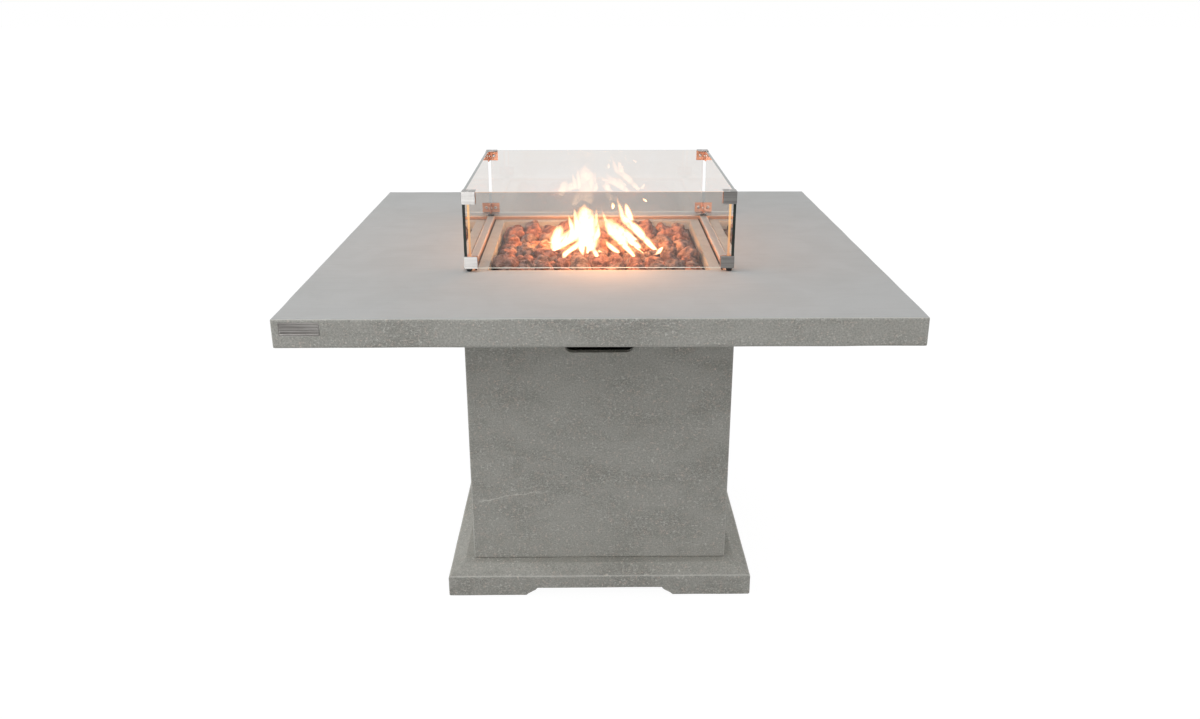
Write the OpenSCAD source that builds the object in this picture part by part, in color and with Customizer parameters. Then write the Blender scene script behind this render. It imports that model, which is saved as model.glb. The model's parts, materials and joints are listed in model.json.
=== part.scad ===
// Square dining fire table: cast-concrete top, pedestal and plinth, with a gas
// burner in lava stones inside a loose glass wind guard.
// The origin is on the floor under the middle of the plinth; the door faces -Y.

/* [Tabletop] */
// Side of the square top
top_size = 1200; // [1040:10:1400]
// Height of the top's upper face above the floor
table_h = 750; // [700:5:800]
// Height of the top's edge
top_edge = 57; // [50:1:75]
// Thickness of the cast skin between the ribs
top_skin = 18; // [15:1:26]
// Width of the cast rim under the edge
rim_w = 20; // [14:1:40]
// Width of the stiffening ribs under the top
rib_w = 18; // [12:1:30]
// How far the thick collar reaches past the pedestal
collar_margin = 14; // [8:1:30]
// Rounding of the top's edges
edge_r = 5; // [2:1:8]

/* [Edge plate] */
// Width of the bare plate in the front edge
plate_w = 74; // [50:1:120]
// Height of the bare plate
plate_h = 25; // [18:1:34]
// Thickness of the bare plate
plate_t = 1.6; // [1.2:0.2:3]
// Distance of the plate from the top's left end
plate_inset = 14; // [10:1:60]
// Distance of the plate from the top's upper face
plate_drop = 7.5; // [6:0.5:12]
// Width of the plate's raised border
plate_border = 2.4; // [1.5:0.1:4]
// Depth of the plate's field behind its border
plate_field = 0.6; // [0.3:0.1:0.9]

/* [Burner pan] */
// Distance of the recess inside the pedestal's faces, which the pan hangs between
recess_margin = 24; // [22:1:44]
// Depth of the recess
recess_depth = 18; // [15:1:24]
// Bevel around the recess
recess_bevel = 2; // [1:0.5:3]
// Gap between the pan's flange and the recess wall
flange_gap = 4; // [1:0.5:6]
// Width of the pan's flange
flange_w = 23; // [16:1:30]
// Height of the flange's folded edge, which stands in the recess
flange_lip = 10; // [8:1:12]
// Thickness of the pan's sheet
pan_t = 2; // [1:0.5:3]
// Depth of the pan below its flange
pan_depth = 80; // [70:1:100]
// Inward slope of the pan's walls, over their depth
pan_draft = 12; // [0:1:20]
// Gap between the pan's wall and the opening in the top
opening_gap = 4; // [2:0.5:8]
// Diameter of the drain holes
drain_d = 10; // [6:1:14]

/* [Burner] */
// Radius of the burner ring
ring_r = 140; // [110:1:165]
// Diameter of the ring's tube
ring_tube = 19; // [15:1:24]
// Wall of the burner's tubes
tube_wall = 1.5; // [1:0.1:2]
// Height of the ring's middle above the pan's floor
ring_rise = 30; // [22:1:40]
// Diameter of the spokes
spoke_d = 15; // [11:1:18]
// Number of ports in the ring
port_count = 24; // [12:4:40]
// Diameter of each port
port_d = 3; // [2:0.5:4]
// Diameter of the burner's threaded hub
hub_d = 26; // [22:1:32]
// Length of the hub below the pan
hub_below = 30; // [24:1:40]
// Height of the lock nut under the pan
nut_h = 8; // [5:1:12]
// Outer diameter of the air mixer
mixer_d = 34; // [32:1:44]
// Length of the air mixer
mixer_len = 65; // [58:1:80]
// Width of the air windows in the mixer
window_w = 10; // [6:1:14]

/* [Lava stones] */
// Level of the lower stones below the pan's flange
bed_drop = 20; // [16:1:22]
// Largest diameter of a top stone
stone_d = 40; // [30:1:46]
// Smallest share of that diameter
stone_least = 0.86; // [0.6:0.02:0.95]

/* [Pedestal] */
// Side of the square pedestal
pedestal_size = 580; // [560:2:640]
// Wall of the cast pedestal
wall = 16; // [12:1:20]
// Rounding of the pedestal's upright edges
pedestal_r = 5; // [2:1:8]
// Width of the front returns beside the door opening
lip_w = 40; // [34:1:60]
// Height of the beam over the door opening
header_h = 50; // [40:1:70]

/* [Access door] */
// Thickness of the door panel
door_t = 18; // [16:1:26]
// Gap between the door and the pedestal behind it
door_gap = 1; // [0.8:0.1:2]
// Gap under the door
door_floor_gap = 0.3; // [0.2:0.1:0.5]
// Gap between the door and the top
door_top_gap = 2.5; // [2:0.5:5]
// Rounding of the door's front edges
door_r = 4; // [3:1:4]
// Width of the hand slot
slot_w = 150; // [100:1:200]
// Height of the hand slot
slot_h = 45; // [35:1:60]
// Rounding of the hand slot's corners
slot_r = 16; // [8:1:17]
// Distance of the slot's lower edge below the top's upper face
slot_drop = 177.5; // [170:0.5:220]
// Diameter of the studs that locate the door's lower edge
stud_d = 6; // [5:0.5:7]
// Distance of the studs from the middle
stud_x = 200; // [120:5:230]
// Diameter of the magnets
magnet_d = 25; // [18:1:30]
// Thickness of the magnets
magnet_t = 6; // [4:0.5:8]
// Thickness of the steel discs in the door
strike_t = 2; // [1.5:0.5:4]

/* [Plinth] */
// Side of the square plinth
plinth_size = 688; // [660:2:760]
// Height of the plinth's upright face
plinth_face = 51; // [44:1:56]
// Height of the plinth's ledge
plinth_h = 67; // [62:1:80]
// Side of the ledge that the pedestal stands on
ledge_size = 620; // [600:2:650]
// Wall of the plinth
plinth_wall = 22; // [16:1:26]
// Thickness of the plinth's deck
deck_t = 24; // [22:1:28]
// Side of the opening in the deck
deck_open = 456; // [400:2:470]
// Height of the cut-outs at the floor
cutout_h = 20; // [12:1:26]
// Width of the cut-outs at the floor
cutout_w = 334; // [240:2:400]
// How far each end of a cut-out leans in
cutout_lean = 24; // [10:1:40]

/* [Gas cylinder seat] */
// Thickness of the tray
tray_t = 2; // [1.5:0.5:4]
// Inner diameter of the ring that locates a cylinder's foot
tray_ring_d = 208; // [200:1:230]
// Height of that ring
tray_ring_h = 6; // [4:1:10]
// Diameter of the hole in the tray
tray_hole_d = 100; // [60:2:180]

/* [Brackets and bolts] */
// Thickness of the angle brackets
angle_t = 4; // [3:0.5:5]
// Upright leg of the angle brackets
angle_up = 45; // [40:1:60]
// Level leg of the angle brackets
angle_out = 20; // [18:1:22]
// Length of the angle brackets
angle_len = 60; // [50:1:90]
// Distance of the brackets from the middle of their wall
angle_y = 130; // [90:5:170]
// Diameter of the bolts
bolt_d = 6; // [5:0.5:6]
// Length of the bolts below their heads
bolt_len = 16; // [12:1:16]

/* [Controls] */
// Distance of the controls below the top's upper face
control_drop = 205; // [195:1:225]
// Width of the control panel
panel_w = 160; // [150:1:200]
// Height of the control panel
panel_h = 84; // [78:1:110]
// Thickness of the control panel
panel_t = 2; // [1.5:0.5:3]
// Distance of the knob and of the igniter from the panel's middle
control_pitch = 40; // [34:1:44]
// Diameter of the valve stem
stem_d = 8; // [6:0.5:9]
// Travel of the stem when the knob is pushed
stem_travel = 4; // [2:0.5:5]
// Diameter of the knob's skirt
knob_d = 44; // [34:1:50]
// Length of the knob
knob_len = 26; // [22:1:32]
// Number of flutes around the knob
flute_count = 10; // [6:1:14]
// Diameter of the igniter button
button_d = 16; // [12:1:18]
// Travel of the igniter button
button_travel = 5; // [3:0.5:6]
// Outer diameter of the gas pipe
pipe_d = 12; // [10:1:13]
// Wall of the gas pipe
pipe_wall = 1.5; // [1:0.1:2]
// Radius of the gas pipe's bends
pipe_bend = 15; // [12:1:16]
// Diameter of the hose nipple
nipple_d = 15.88; // [12:0.02:16]

/* [Wind guard] */
// Thickness of the glass
glass_t = 6; // [4:0.5:8]
// Height of the glass
glass_h = 160; // [120:1:200]
// Gap between the panels at the corners
corner_gap = 4; // [2:0.5:5]
// Width of the corner cups
clip_w = 28; // [26:1:36]
// Height of the corner cups
clip_h = 26; // [20:1:34]
// Sheet of the corner cups
clip_t = 1; // [0.8:0.1:2]
// Sheet of the inner brackets
bracket_t = 1.5; // [1:0.1:2]
// Width of the inner brackets
bracket_w = 22; // [20:1:26]
// Height of the rubber feet
foot_h = 7; // [5:0.5:12]
// Diameter of the feet at the cup
foot_top_d = 15; // [12:0.5:18]
// Diameter of the feet at the table
foot_low_d = 10; // [8:0.5:12]
// Distance of the feet from the recess's bevel
foot_margin = 0.5; // [0.5:0.5:6]
// Distance of the feet's middles from the cups' outer faces
foot_inset = 9.5; // [9:0.5:12]
// Diameter of the guard's screws
screw_d = 4; // [3:0.5:4]

/* [Hidden] */
$fn = 48;
// Clearance of a round piece that seats or slides in its bore, on the radius
fit = 0.05;
// Clearance of a bolt or screw in its hole, on the radius
hole_gap = 0.2;
// Overrun of a cut past the face that it opens
cut = 1;

// Levels and half sizes of the castings
top_half = top_size / 2;
under_z = table_h - top_edge;
ped_half = pedestal_size / 2;
ped_in = ped_half - wall;
plinth_half = plinth_size / 2;
collar_half = ped_half + collar_margin;
shell_front = -ped_half + door_t + door_gap;
opening_x = ped_in - lip_w;
header_z = under_z - header_h;
deck_z = plinth_h - deck_t;
plate_left = -top_half + plate_inset;
plate_low = table_h - plate_drop - plate_h;

// Brackets and bolts
bolt_hole = bolt_d + 2 * hole_gap;
bolt_head_h = 4;
bolt_edge = 12;
bolt_inset = 8;
bolt_off = 15;
bolt_in = ped_in - angle_t - bolt_inset;
top_bolt_z = under_z - angle_up + bolt_edge;
base_bolt_z = plinth_h + angle_up - bolt_edge;
wall_cover = 3;
wall_bolt_len = angle_t + wall - wall_cover - 2;
tray_gap = 4;
tray_ring_t = 3;

// Levels and fittings of the door
door_low = plinth_h + door_floor_gap;
door_high = under_z - door_top_gap;
door_back = -ped_half + door_t;
stud_setback = 6;
stud_y = -ped_half + door_r + stud_setback;
stud_seat = 12;
stud_h = 7;
stud_slot_x = 6;
stud_slot_y = 5.5;
stud_slot_h = 9;
strike_rim = 3;
strike_d = magnet_d + 2 * strike_rim;

// Levels and half sizes of the pan
recess_half = ped_half - recess_margin;
recess_z = table_h - recess_depth;
flange_half = recess_half - flange_gap;
pan_half = flange_half - flange_w;
open_half = pan_half + pan_t + opening_gap;
flange_z = recess_z + flange_lip;
pan_floor = flange_z - pan_depth;
pan_low = pan_floor - pan_t;
drain_inset = 40;
wall_at = function (z) pan_half - pan_draft * (flange_z - z) / pan_depth;

// Levels and walls of the burner
ring_z = pan_floor + ring_rise;
ring_cover = 4;
hub_low = pan_low - hub_below;
hub_wall = 3;
hub_bore = hub_d - 2 * hub_wall;
hub_rim = 7;
hub_flange_d = hub_d + 2 * hub_rim;
hub_flange_h = 4;
nut_rim = 8;
burner_nut_d = hub_d + 2 * nut_rim;
mixer_nut_gap = 2;
mixer_top = pan_low - nut_h - mixer_nut_gap;
mixer_low = mixer_top - mixer_len;
chamber_h = 30;
window_margin = 4;
socket_depth = 10;

// Places of the valve, its knob and the panel
control_z = table_h - control_drop;
panel_face = ped_half + panel_t;
panel_r = 6;
knob_y = -control_pitch;
igniter_y = control_pitch;
cutout_margin = 26;
cutout_y = control_pitch + cutout_margin;
cutout_z = 28;
valve_setback = 28;
valve_len = 40;
valve_front = ped_half - valve_setback;
valve_back = valve_front - valve_len;
valve_x = (valve_front + valve_back) / 2;
valve_wide = 17;
valve_high = 19;
outlet_len = 14;
outlet_wall = 3;
outlet_d = pipe_d + 2 * outlet_wall;
sensor_boss_d = 9;
sensor_boss_h = 6;
hex_rim = 3;
inlet_hex_d = nipple_d + 2 * hex_rim;
inlet_hex_h = 8;
inlet_bore = 6;
nipple_len = 18;
boss_wall = 8;
stem_boss_d = stem_d + 2 * boss_wall;
stem_gap = 1;
stem_hole = stem_d + 2 * stem_gap;
stem_outer = panel_face + knob_len;
push_gap = 2;
knob_x = panel_face + stem_travel + push_gap;
panel_screw_inset = 8;
panel_screw_len = 12;
panel_screw_y = panel_w / 2 - panel_screw_inset;
panel_screw_z = panel_h / 2 - panel_screw_inset;
pipe_route = [
    [valve_back - outlet_len + socket_depth, knob_y, control_z],
    [0, knob_y, control_z],
    [0, 0, control_z],
    [0, 0, mixer_low + socket_depth]
];

// Places of the igniter's pieces
bezel_t = 3;
bezel_rim = 7;
bezel_d = button_d + 2 * bezel_rim;
barrel_wall = 3;
barrel_d = button_d + 2 * barrel_wall;
barrel_len = 52;
barrel_back = panel_face - barrel_len;
button_seat = 22;
button_back = panel_face - button_seat;
button_face = panel_face + bezel_t + button_travel + 1;
igniter_nut_rim = 5;
igniter_nut_d = barrel_d + 2 * igniter_nut_rim;
igniter_nut_t = 6;
terminal_len = 8;
terminal_d = 6;

// Places of the electrodes, and their leads
electrode_gap = 6.5;
electrode_below = 12;
electrode_x = ring_r + ring_tube / 2 + electrode_gap;
electrode_low = pan_low - electrode_below;
ceramic_d = 7;
ceramic_top = ring_z + 8;
sensor_d = 6;
sensor_top = ring_z + 12;
strip_half = 10;
sleeve_d = 12;
sleeve_h = 16;
igniter_lead_d = 4;
sensor_lead_d = 3;
lead_bend = 12;
sensor_lead_rise = 67;
sensor_lead_z = control_z + sensor_lead_rise;

// Levels and half sizes of the guard
foot_mid = recess_half + recess_bevel + foot_margin + foot_low_d / 2;
clip_out = foot_mid + foot_inset;
glass_out = clip_out - clip_t;
glass_in = glass_out - glass_t;
guard_z = table_h + foot_h;
glass_z = guard_z + clip_t;
glass_top = glass_z + glass_h;
glass_hole = screw_d + 2;
bracket_out = glass_in - bracket_t;
bracket_near = glass_in - bracket_w;
bracket_h = clip_h - 2;
screw_at = (bracket_out + bracket_near) / 2;
screw_levels = [glass_z + clip_h / 2, glass_top - clip_h / 2];
screw_hole = screw_d + 2 * hole_gap;
screw_head_d = 2 * screw_d;
screw_head_h = 2.2;
screw_crown = 0.7;

// The stones and their bed
bed_top = flange_z - bed_drop;
bed_gap = 0.5;
bed_half = wall_at(bed_top) - bed_gap;
stone_gap = 2;
stone_pitch = stone_d + stone_gap;
stone_rows = floor(2 * bed_half / stone_pitch);
stone_sides = 6;
stone_belt = 28;
stone_lift = 0.5;
chip_gap = 1;
chip_d = stone_pitch * sqrt(2) - stone_d - chip_gap;
stone_seed = 17;
chip_seed = 1017;

CORNERS = [["front_left", -1, -1], ["front_right", 1, -1], ["back_left", -1, 1], ["back_right", 1, 1]];

// Outlines

function arc(x, y, r, from, to, steps = 5) =
    [for (i = [0 : steps])
        let (a = from + (to - from) * i / steps)
        [x + r * cos(a), y + r * sin(a)]];

function rounded_rect(x0, y0, x1, y1, r) = concat(
    arc(x1 - r, y1 - r, r, 0, 90),
    arc(x0 + r, y1 - r, r, 90, 180),
    arc(x0 + r, y0 + r, r, 180, 270),
    arc(x1 - r, y0 + r, r, 270, 360)
);

// A right-hand outline and its mirror image, as one closed outline
function both_sides(right) = concat(
    right,
    [for (i = [len(right) - 1 : -1 : 0]) [-right[i][0], right[i][1]]]
);

// Shared shapes

// A form with the same upright outline seen from the front and from the side
module square_form(outline, reach) {
    intersection() {
        rotate([90, 0, 0]) linear_extrude(2 * reach, center = true) polygon(outline);
        rotate([90, 0, 90]) linear_extrude(2 * reach, center = true) polygon(outline);
    }
}

module block(x0, y0, z0, x1, y1, z1) {
    translate([x0, y0, z0]) cube([x1 - x0, y1 - y0, z1 - z0]);
}

// A square plate around the middle
module square_block(half, z0, z1) {
    block(-half, -half, z0, half, half, z1);
}

// A rod along X, from one place to another
module rod_x(x0, x1, d) {
    translate([x0, 0, 0]) rotate([0, 90, 0]) cylinder(d = d, h = x1 - x0);
}

// A round cut up from the origin, opened past its start
module bore(d, depth) {
    translate([0, 0, -cut]) cylinder(d = d, h = depth + cut);
}

function unit(v) = v / norm(v);

module rod_between(start, stop, d) {
    v = stop - start;
    translate(start)
        rotate([0, acos(v[2] / norm(v)), atan2(v[1], v[0])])
        cylinder(d = d, h = norm(v));
}

// A quarter bend at a corner where a run turns from one direction to another
module elbow(corner, along, away, d, bend_r) {
    x = -away;
    z = cross(x, along);
    middle = corner + (away - along) * bend_r;
    multmatrix([
        [x[0], along[0], z[0], middle[0]],
        [x[1], along[1], z[1], middle[1]],
        [x[2], along[2], z[2], middle[2]]
    ])
    rotate_extrude(angle = 90) translate([bend_r, 0]) circle(d = d);
}

// A round run through corners that turn at right angles
module tube_run(points, d, bend_r) {
    last = len(points) - 1;
    for (i = [0 : last - 1]) {
        along = unit(points[i + 1] - points[i]);
        start = i == 0 ? points[i] : points[i] + along * bend_r;
        stop = i == last - 1 ? points[i + 1] : points[i + 1] - along * bend_r;
        rod_between(start, stop, d);
    }
    for (i = [1 : last - 1])
        elbow(points[i], unit(points[i] - points[i - 1]), unit(points[i + 1] - points[i]), d, bend_r);
}

module each_corner(x, y) {
    for (c = CORNERS) translate([c[1] * x, c[2] * y, 0]) children();
}

// A piece drawn in the back right corner, moved to another corner
module in_corner(c) {
    mirror([c[1] < 0 ? 1 : 0, 0, 0]) mirror([0, c[2] < 0 ? 1 : 0, 0]) children();
}

// Castings

module tabletop() {
    edge = rounded_rect(-top_half, under_z, top_half, table_h, edge_r);
    plan = rounded_rect(-top_half, -top_half, top_half, top_half, edge_r);
    mouth = both_sides([
        [recess_half, recess_z],
        [recess_half, table_h - recess_bevel],
        [recess_half + recess_bevel + cut, table_h + cut]
    ]);
    color("darkgray") difference() {
        intersection() {
            square_form(edge, top_half + cut);
            translate([0, 0, under_z - cut]) linear_extrude(top_edge + 2 * cut) polygon(plan);
        }
        square_form(mouth, top_half);
        square_block(open_half, under_z - cut, table_h);
        underside_pockets();
        top_bolt_places() bore(bolt_hole, bolt_len);
        plate_pocket();
    }
}

// Eight pockets between the rim, the ribs and the collar
module underside_pockets() {
    near = collar_half;
    far = top_half - rim_w;
    side = collar_half - rib_w;
    low = under_z - cut;
    high = table_h - top_skin;
    for (turn = [0 : 90 : 270]) rotate(turn) {
        block(near, near, low, far, far, high);
        block(near, -side, low, far, side, high);
    }
}

module plate_pocket() {
    block(
        plate_left, -top_half - cut, plate_low,
        plate_left + plate_w, -top_half + plate_t, plate_low + plate_h
    );
}

module edge_plate() {
    right = plate_left + plate_w;
    high = plate_low + plate_h;
    back = -top_half + plate_t;
    color("gainsboro") difference() {
        block(plate_left, -top_half, plate_low, right, back, high);
        block(
            plate_left + plate_border, -top_half - cut, plate_low + plate_border,
            right - plate_border, -top_half + plate_field, high - plate_border
        );
    }
}

module pedestal_shell() {
    plan = concat(
        [[-ped_half, shell_front], [ped_half, shell_front]],
        arc(ped_half - pedestal_r, ped_half - pedestal_r, pedestal_r, 0, 90),
        arc(-ped_half + pedestal_r, ped_half - pedestal_r, pedestal_r, 90, 180)
    );
    color("gray") difference() {
        translate([0, 0, plinth_h]) linear_extrude(under_z - plinth_h) polygon(plan);
        block(-ped_in, shell_front + wall, plinth_h - cut, ped_in, ped_in, under_z + cut);
        block(-opening_x, shell_front - cut, plinth_h - cut, opening_x, shell_front + wall + cut, header_z);
        control_cutout();
        magnet_places() rotate([-90, 0, 0]) bore(magnet_d + 2 * fit, magnet_t);
        wall_bolt_places(top_bolt_z) wall_bolt_hole();
        wall_bolt_places(base_bolt_z) wall_bolt_hole();
        panel_screw_places() rod_x(-panel_screw_len - panel_t, cut, screw_hole);
    }
}

// The opening in the right-hand wall behind the control panel
module control_cutout() {
    outline = rounded_rect(-cutout_y, control_z - cutout_z, cutout_y, control_z + cutout_z, panel_r);
    translate([ped_in - cut, 0, 0])
        rotate([90, 0, 90])
        linear_extrude(wall + 2 * cut)
        polygon(outline);
}

module plinth() {
    body = both_sides([
        [plinth_half - edge_r / 2, 0],
        [plinth_half, edge_r / 2],
        [plinth_half, plinth_face - edge_r / 2],
        [plinth_half - edge_r / 2, plinth_face],
        [ledge_size / 2, plinth_h]
    ]);
    color("gray") difference() {
        square_form(body, plinth_half + cut);
        square_block(plinth_half - plinth_wall, -cut, deck_z);
        square_block(deck_open / 2, 0, plinth_h + cut);
        for (turn = [0, 90]) rotate(turn) floor_cutouts();
        base_bolt_places() mirror([0, 0, 1]) bore(bolt_hole, bolt_len);
        stud_places() mirror([0, 0, 1]) bore(stud_d + 2 * fit, stud_seat);
    }
}

// A pair of cut-outs at the floor, opposite each other, with ogee ends
module floor_cutouts() {
    steps = 8;
    half = cutout_w / 2;
    end = [for (i = [0 : steps])
        [half - cutout_lean * (1 - cos(180 * i / steps)) / 2, cutout_h * i / steps]];
    outline = both_sides(concat([[half, -cut]], end));
    rotate([90, 0, 0]) linear_extrude(2 * plinth_half + 2 * cut, center = true) polygon(outline);
}

module tank_tray() {
    half = ped_in - angle_out - tray_gap;
    ring_h = tray_t + tray_ring_h;
    color("silver") difference() {
        union() {
            square_block(half, plinth_h, plinth_h + tray_t);
            translate([0, 0, plinth_h]) cylinder(d = tray_ring_d + 2 * tray_ring_t, h = ring_h, $fn = 96);
        }
        translate([0, 0, plinth_h + tray_t]) cylinder(d = tray_ring_d, h = tray_ring_h + cut, $fn = 96);
        translate([0, 0, plinth_h]) bore(tray_hole_d, tray_t + cut, $fn = 96);
    }
}

// Brackets and bolts that join the castings

// Both side walls and both ends of each, drawn for the right-hand wall
module each_bracket() {
    for (side = [0, 1]) mirror([side, 0, 0])
        for (y = [-angle_y, angle_y]) translate([0, y, 0]) children();
}

module top_bolt_places() {
    each_bracket() translate([bolt_in, bolt_off, under_z]) children();
}

module base_bolt_places() {
    each_bracket() translate([bolt_in, bolt_off, plinth_h]) children();
}

module wall_bolt_places(z) {
    each_bracket() translate([ped_in, -bolt_off, z]) children();
}

module wall_bolt_hole() {
    rod_x(-cut, wall - wall_cover, bolt_hole);
}

// An angle bracket whose corner lies at the foot of the right-hand wall
module angle_bracket() {
    half = angle_len / 2;
    difference() {
        union() {
            block(-angle_out, -half, 0, 0, half, angle_t);
            block(-angle_t, -half, 0, 0, half, angle_up);
        }
        translate([bolt_in - ped_in, bolt_off, 0]) bore(bolt_hole, angle_t + cut);
        translate([0, -bolt_off, angle_up - bolt_edge]) rod_x(-angle_t - cut, cut, bolt_hole);
    }
}

// A hexagon bolt that points along +Z, with the underside of its head at the origin
module hex_bolt(length) {
    translate([0, 0, -bolt_head_h]) cylinder(d = 2 * bolt_d - 1, h = bolt_head_h, $fn = 6);
    cylinder(d = bolt_d, h = length);
}

module wall_bolt() {
    translate([-angle_t, 0, 0]) rotate([0, 90, 0]) hex_bolt(wall_bolt_len);
}

module top_brackets() {
    color("silver") each_bracket() translate([ped_in, 0, under_z]) mirror([0, 0, 1]) angle_bracket();
}

module base_brackets() {
    color("silver") each_bracket() translate([ped_in, 0, plinth_h]) angle_bracket();
}

module top_bolts() {
    color("silver") {
        top_bolt_places() translate([0, 0, -angle_t]) hex_bolt(bolt_len);
        wall_bolt_places(top_bolt_z) wall_bolt();
    }
}

module base_bolts() {
    color("silver") {
        base_bolt_places() translate([0, 0, angle_t]) rotate([180, 0, 0]) hex_bolt(bolt_len);
        wall_bolt_places(base_bolt_z) wall_bolt();
    }
}

// Door

module stud_places() {
    for (x = [-stud_x, stud_x]) translate([x, stud_y, plinth_h]) children();
}

// Places of the magnets on the pedestal's front, two in the beam and two half-way down
module magnet_places() {
    x = ped_in - lip_w / 2;
    for (side = [-x, x])
        for (z = [(door_low + door_high) / 2, header_z + header_h / 2])
            translate([side, shell_front, z]) children();
}

module access_door() {
    plan = concat(
        arc(-ped_half + door_r, -ped_half + door_r, door_r, 180, 270),
        arc(ped_half - door_r, -ped_half + door_r, door_r, 270, 360),
        [[ped_half, door_back], [-ped_half, door_back]]
    );
    roll_y = -ped_half + door_r;
    roll_z = door_low + door_r;
    section = concat(
        arc(roll_y, door_high - door_r, door_r, 90, 180),
        [[-ped_half, roll_z], [roll_y, door_low]],
        [[door_back, door_low], [door_back, door_high]]
    );
    slot_low = table_h - slot_drop;
    slot = rounded_rect(-slot_w / 2, slot_low, slot_w / 2, slot_low + slot_h, slot_r);
    color("gray") difference() {
        intersection() {
            translate([0, 0, door_low - cut]) linear_extrude(door_high - door_low + 2 * cut) polygon(plan);
            // The lower front edge is a true round, because the door rolls over it
            rotate([90, 0, 90]) linear_extrude(2 * ped_half + 2 * cut, center = true) {
                polygon(section);
                translate([roll_y, roll_z]) circle(r = door_r);
            }
        }
        translate([0, door_back + cut, 0]) rotate([90, 0, 0]) linear_extrude(door_t + 2 * cut) polygon(slot);
        strike_places() cylinder(d = strike_d + 2 * fit, h = strike_t + cut);
        stud_places() block(
            -stud_slot_x, -stud_slot_y, -cut,
            stud_slot_x, stud_slot_y, door_floor_gap + stud_slot_h
        );
    }
}

// Places of the discs in the door's back face, opposite the magnets, with +Z out of the door
module strike_places() {
    magnet_places() translate([0, -door_gap - strike_t, 0]) rotate([-90, 0, 0]) children();
}

module strike_plates() {
    color("silver") strike_places() cylinder(d = strike_d, h = strike_t);
}

module door_magnets() {
    color("dimgray") magnet_places() rotate([-90, 0, 0]) cylinder(d = magnet_d, h = magnet_t);
}

module door_studs() {
    color("silver") stud_places() translate([0, 0, -stud_seat]) cylinder(d = stud_d, h = stud_seat + stud_h);
}

// Burner

module burner_pan() {
    outside = both_sides([
        [pan_half - pan_draft + pan_t, pan_low],
        [pan_half + pan_t, flange_z - pan_t],
        [flange_half, flange_z - pan_t],
        [flange_half, flange_z]
    ]);
    inside = both_sides([
        [wall_at(pan_floor), pan_floor],
        [wall_at(flange_z + cut), flange_z + cut]
    ]);
    drain = wall_at(pan_floor) - drain_inset;
    color("silver") difference() {
        union() {
            square_form(outside, flange_half + cut);
            flange_edge();
        }
        square_form(inside, flange_half);
        translate([0, 0, pan_low]) {
            bore(hub_d + 2 * fit, pan_t + cut);
            each_corner(drain, drain) bore(drain_d, pan_t + cut);
            for (y = [knob_y, igniter_y]) translate([electrode_x, y, 0]) bore(ceramic_d + 2, pan_t + cut);
        }
    }
}

// The flange's edge, folded down all round
module flange_edge() {
    difference() {
        square_block(flange_half, recess_z, flange_z);
        square_block(flange_half - pan_t, recess_z - cut, flange_z + cut);
    }
}

module burner_ring() {
    color("silver") difference() {
        union() {
            burner_tubes(ring_tube, spoke_d);
            translate([0, 0, hub_low]) cylinder(d = hub_d, h = ring_z - hub_low);
            translate([0, 0, pan_floor]) cylinder(d = hub_flange_d, h = hub_flange_h);
        }
        burner_tubes(ring_tube - 2 * tube_wall, spoke_d - 2 * tube_wall);
        translate([0, 0, hub_low]) bore(hub_bore, ring_z - hub_low);
        for (i = [0 : port_count - 1])
            rotate((i + 0.5) * 360 / port_count)
            translate([ring_r, 0, ring_z])
            cylinder(d = port_d, h = ring_tube);
    }
}

module burner_tubes(ring_width, spoke_width) {
    translate([0, 0, ring_z]) {
        rotate_extrude($fn = 96) translate([ring_r, 0]) circle(d = ring_width);
        for (turn = [0, 90]) rotate(turn) rod_x(-ring_r, ring_r, spoke_width);
    }
}

module burner_nut() {
    color("goldenrod") translate([0, 0, pan_low - nut_h]) difference() {
        cylinder(d = burner_nut_d, h = nut_h, $fn = 6);
        bore(hub_d + 2 * fit, nut_h + cut);
    }
}

module air_mixer() {
    window_low = hub_low - chamber_h + window_margin;
    window_high = hub_low - window_margin;
    color("goldenrod") difference() {
        translate([0, 0, mixer_low]) cylinder(d = mixer_d, h = mixer_len);
        translate([0, 0, hub_low]) cylinder(d = hub_d + 2 * fit, h = hub_below);
        translate([0, 0, hub_low - chamber_h]) cylinder(d = hub_bore, h = chamber_h + cut);
        translate([0, 0, mixer_low]) bore(pipe_d + 2 * fit, socket_depth);
        translate([0, 0, mixer_low]) cylinder(d = port_d, h = hub_low - mixer_low);
        for (turn = [45, 135])
            rotate(turn)
            block(-mixer_d, -window_w / 2, window_low, mixer_d, window_w / 2, window_high);
    }
}

module gas_pipe() {
    color("silver") difference() {
        tube_run(pipe_route, pipe_d, pipe_bend);
        tube_run(pipe_route, pipe_d - 2 * pipe_wall, pipe_bend);
    }
}

// Controls

module gas_valve() {
    color("goldenrod") translate([0, knob_y, control_z]) difference() {
        union() {
            block(valve_back, -valve_wide, -valve_high, valve_front, valve_wide, valve_high);
            rod_x(valve_front, ped_half, stem_boss_d);
            rod_x(valve_back - outlet_len, valve_back, outlet_d);
            translate([valve_x, 0, valve_high]) cylinder(d = sensor_boss_d, h = sensor_boss_h);
        }
        rod_x(valve_x - stem_travel - push_gap, ped_half + cut, stem_d + 2 * fit);
        rod_x(valve_back - outlet_len - cut, valve_back - outlet_len + socket_depth, pipe_d + 2 * fit);
    }
}

module valve_inlet() {
    length = inlet_hex_h + nipple_len;
    color("goldenrod") translate([valve_x, knob_y, control_z - valve_high]) difference() {
        union() {
            translate([0, 0, -inlet_hex_h]) cylinder(d = inlet_hex_d, h = inlet_hex_h, $fn = 6);
            translate([0, 0, -length]) cylinder(d = nipple_d, h = nipple_len);
        }
        translate([0, 0, -length]) bore(inlet_bore, nipple_len + inlet_hex_h / 2);
    }
}

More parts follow.
